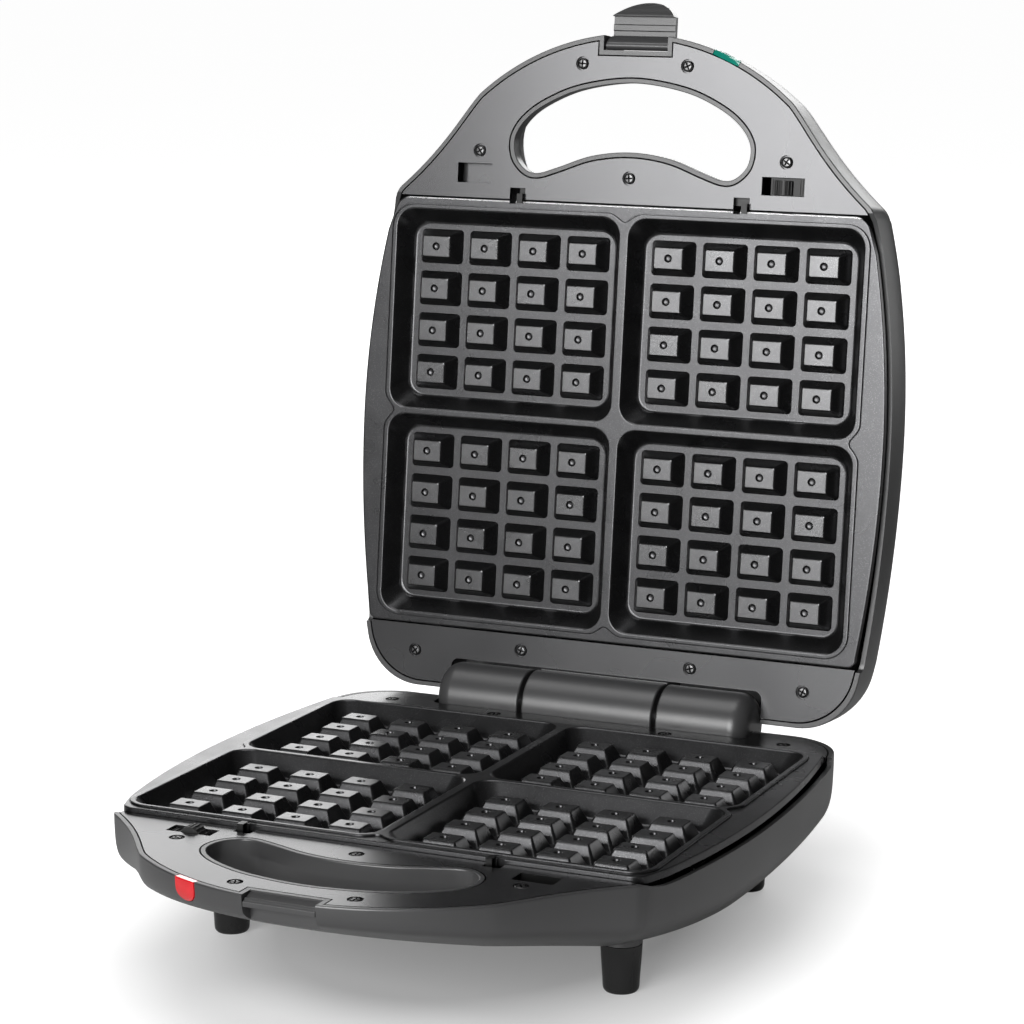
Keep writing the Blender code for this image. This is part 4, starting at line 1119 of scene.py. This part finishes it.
# Each softbox has its place, what it points at, its size in metres and its power in watts.
SOFTBOXES = (("front_softbox", (-0.3, -2.6, 0.92), (0, 0, 0.25), (1.8, 1.05), 60),
             ("low_front_softbox", (0.0, -2.6, 0.2), (0, 0, 0.2), (1.1, 0.35), 14),
             ("back_right_softbox", (1.5, 2.6, 0.4), (0, 0, 0.2), (1.2, 1.0), 6),
             ("rear_softbox", (-0.3, 3.0, 1.4), (0, 0, 0.2), (1.6, 1.2), 26),
             ("back_left_softbox", (-2.2, 2.6, 0.75), (0, 0, 0.1), (2.2, 1.3), 26),
             ("top_softbox", (-0.3, -0.1, 2.2), (0, 0, 0.2), (1.5, 1.5), 15))
CAMERA_PLACE = (0.5986, -1.2891, 0.4025)
CAMERA_LENS = 111.95
# How far the camera turns to the left, looks down and rolls, in degrees.
CAMERA_TURNS = (24.29, 10.952, 0.216)


def aim(piece, target):
    piece.rotation_euler = (Vector(target) - piece.location).to_track_quat("-Z", "Y").to_euler()


def seen_or_lit(tree, seen, lit, kind):
    """The camera sees one shader, and every other ray meets the second."""
    path = tree.nodes.new("ShaderNodeLightPath")
    choice = tree.nodes.new("ShaderNodeMixShader")
    tree.links.new(path.outputs["Is Camera Ray"], choice.inputs["Fac"])
    tree.links.new(lit, choice.inputs[1])
    tree.links.new(seen, choice.inputs[2])
    tree.links.new(choice.outputs["Shader"], tree.nodes[kind].inputs["Surface"])


def studio_floor():
    """White paper that glows: dimly near the piece, which paints a soft shadow under it beside the lamps' own
    shadow, and fully further off.
    """
    put_down()
    bpy.ops.mesh.primitive_plane_add(size=FLOOR_SIZE, location=(0, 0, 0))
    floor = bpy.context.object
    floor.name = "studio_floor"
    paper = Finish("white_paper")
    tree = paper.tree
    tone = paper.effect("fine_grain", Grain_Size=0.002, Tone_Size=0.9)
    paper.tint(tone.outputs["Tone"], (0.62, 0.62, 0.62), (0.65, 0.65, 0.65))
    paper.worn(0.5, 0.05, 0.8)
    paper.shader.inputs["Specular IOR Level"].default_value = 0.1
    glow = tree.nodes.new("ShaderNodeEmission")
    footprint = tree.nodes.new("ShaderNodeMapping")
    footprint.inputs["Scale"].default_value = (1 / FOOTPRINT[0], 1 / FOOTPRINT[1], 1)
    reach = tree.nodes.new("ShaderNodeVectorMath")
    reach.operation = "LENGTH"
    both = tree.nodes.new("ShaderNodeAddShader")
    dull = tree.nodes.new("ShaderNodeBsdfDiffuse")
    # Painted shadow: the glow fades out towards the footprint.
    join_up(tree, (on_piece(tree), footprint.inputs["Vector"]),
            (footprint.outputs["Vector"], reach.inputs[0]),
            (spread(tree, reach.outputs["Value"], *PAINTED_SHADOW_REACH, *FLOOR_GLOW_AND_PAINTED_SHADOW), glow.inputs["Strength"]),
            (spread(tree, reach.outputs["Value"], *BOUNCE_REACH, *FLOOR_BOUNCE), dull.inputs["Color"]),
            (paper.shader.outputs["BSDF"], both.inputs[0]), (glow.outputs["Emission"], both.inputs[1]))
    seen_or_lit(tree, both.outputs["Shader"], dull.outputs["BSDF"], "Material Output")
    floor.data.materials.append(paper.material)


def softbox(name, place, target, size, power):
    put_down()
    bpy.ops.object.light_add(type="AREA", location=place)
    lamp = bpy.context.object
    lamp.name = name
    lamp.data.shape = "RECTANGLE"
    lamp.data.size, lamp.data.size_y = size
    lamp.data.energy = power
    lamp.visible_camera = False
    aim(lamp, target)


def studio_light():
    world = bpy.data.worlds.new("pale_room")
    bpy.context.scene.world = world
    world.use_nodes = True
    tree = world.node_tree
    seen = tree.nodes["Background"]
    seen.inputs["Color"].default_value = (1, 1, 1, 1)
    lit = tree.nodes.new("ShaderNodeBackground")
    lit.inputs["Color"].default_value = (1, 1, 1, 1)
    lit.inputs["Strength"].default_value = ROOM_LIGHT
    seen_or_lit(tree, seen.outputs["Background"], lit.outputs["Background"], "World Output")
    for box in SOFTBOXES:
        softbox(*box)


def studio_camera():
    put_down()
    bpy.ops.object.camera_add()
    camera = bpy.context.object
    turn, dip, roll = (math.radians(angle) for angle in CAMERA_TURNS)
    ahead = Vector((-math.sin(turn) * math.cos(dip), math.cos(turn) * math.cos(dip), -math.sin(dip)))
    right = Vector((math.cos(turn), math.sin(turn), 0))
    up = right.cross(ahead)
    side = right * math.cos(roll) + up * math.sin(roll)
    top = up * math.cos(roll) - right * math.sin(roll)
    turned = Matrix((side, top, -ahead)).transposed().to_4x4()
    camera.matrix_world = Matrix.Translation(BASE_HALF @ Vector(CAMERA_PLACE)) @ turned
    camera.data.lens = CAMERA_LENS
    camera.data.sensor_width = 36
    camera.data.clip_end = 50
    bpy.context.scene.camera = camera


build_shells()
build_plates()
build_hinge_and_latch()
build_small_pieces()
finish_inner_pieces()
studio_floor()
studio_light()
studio_camera()
bpy.context.scene.view_settings.view_transform = "Standard"

put_down()
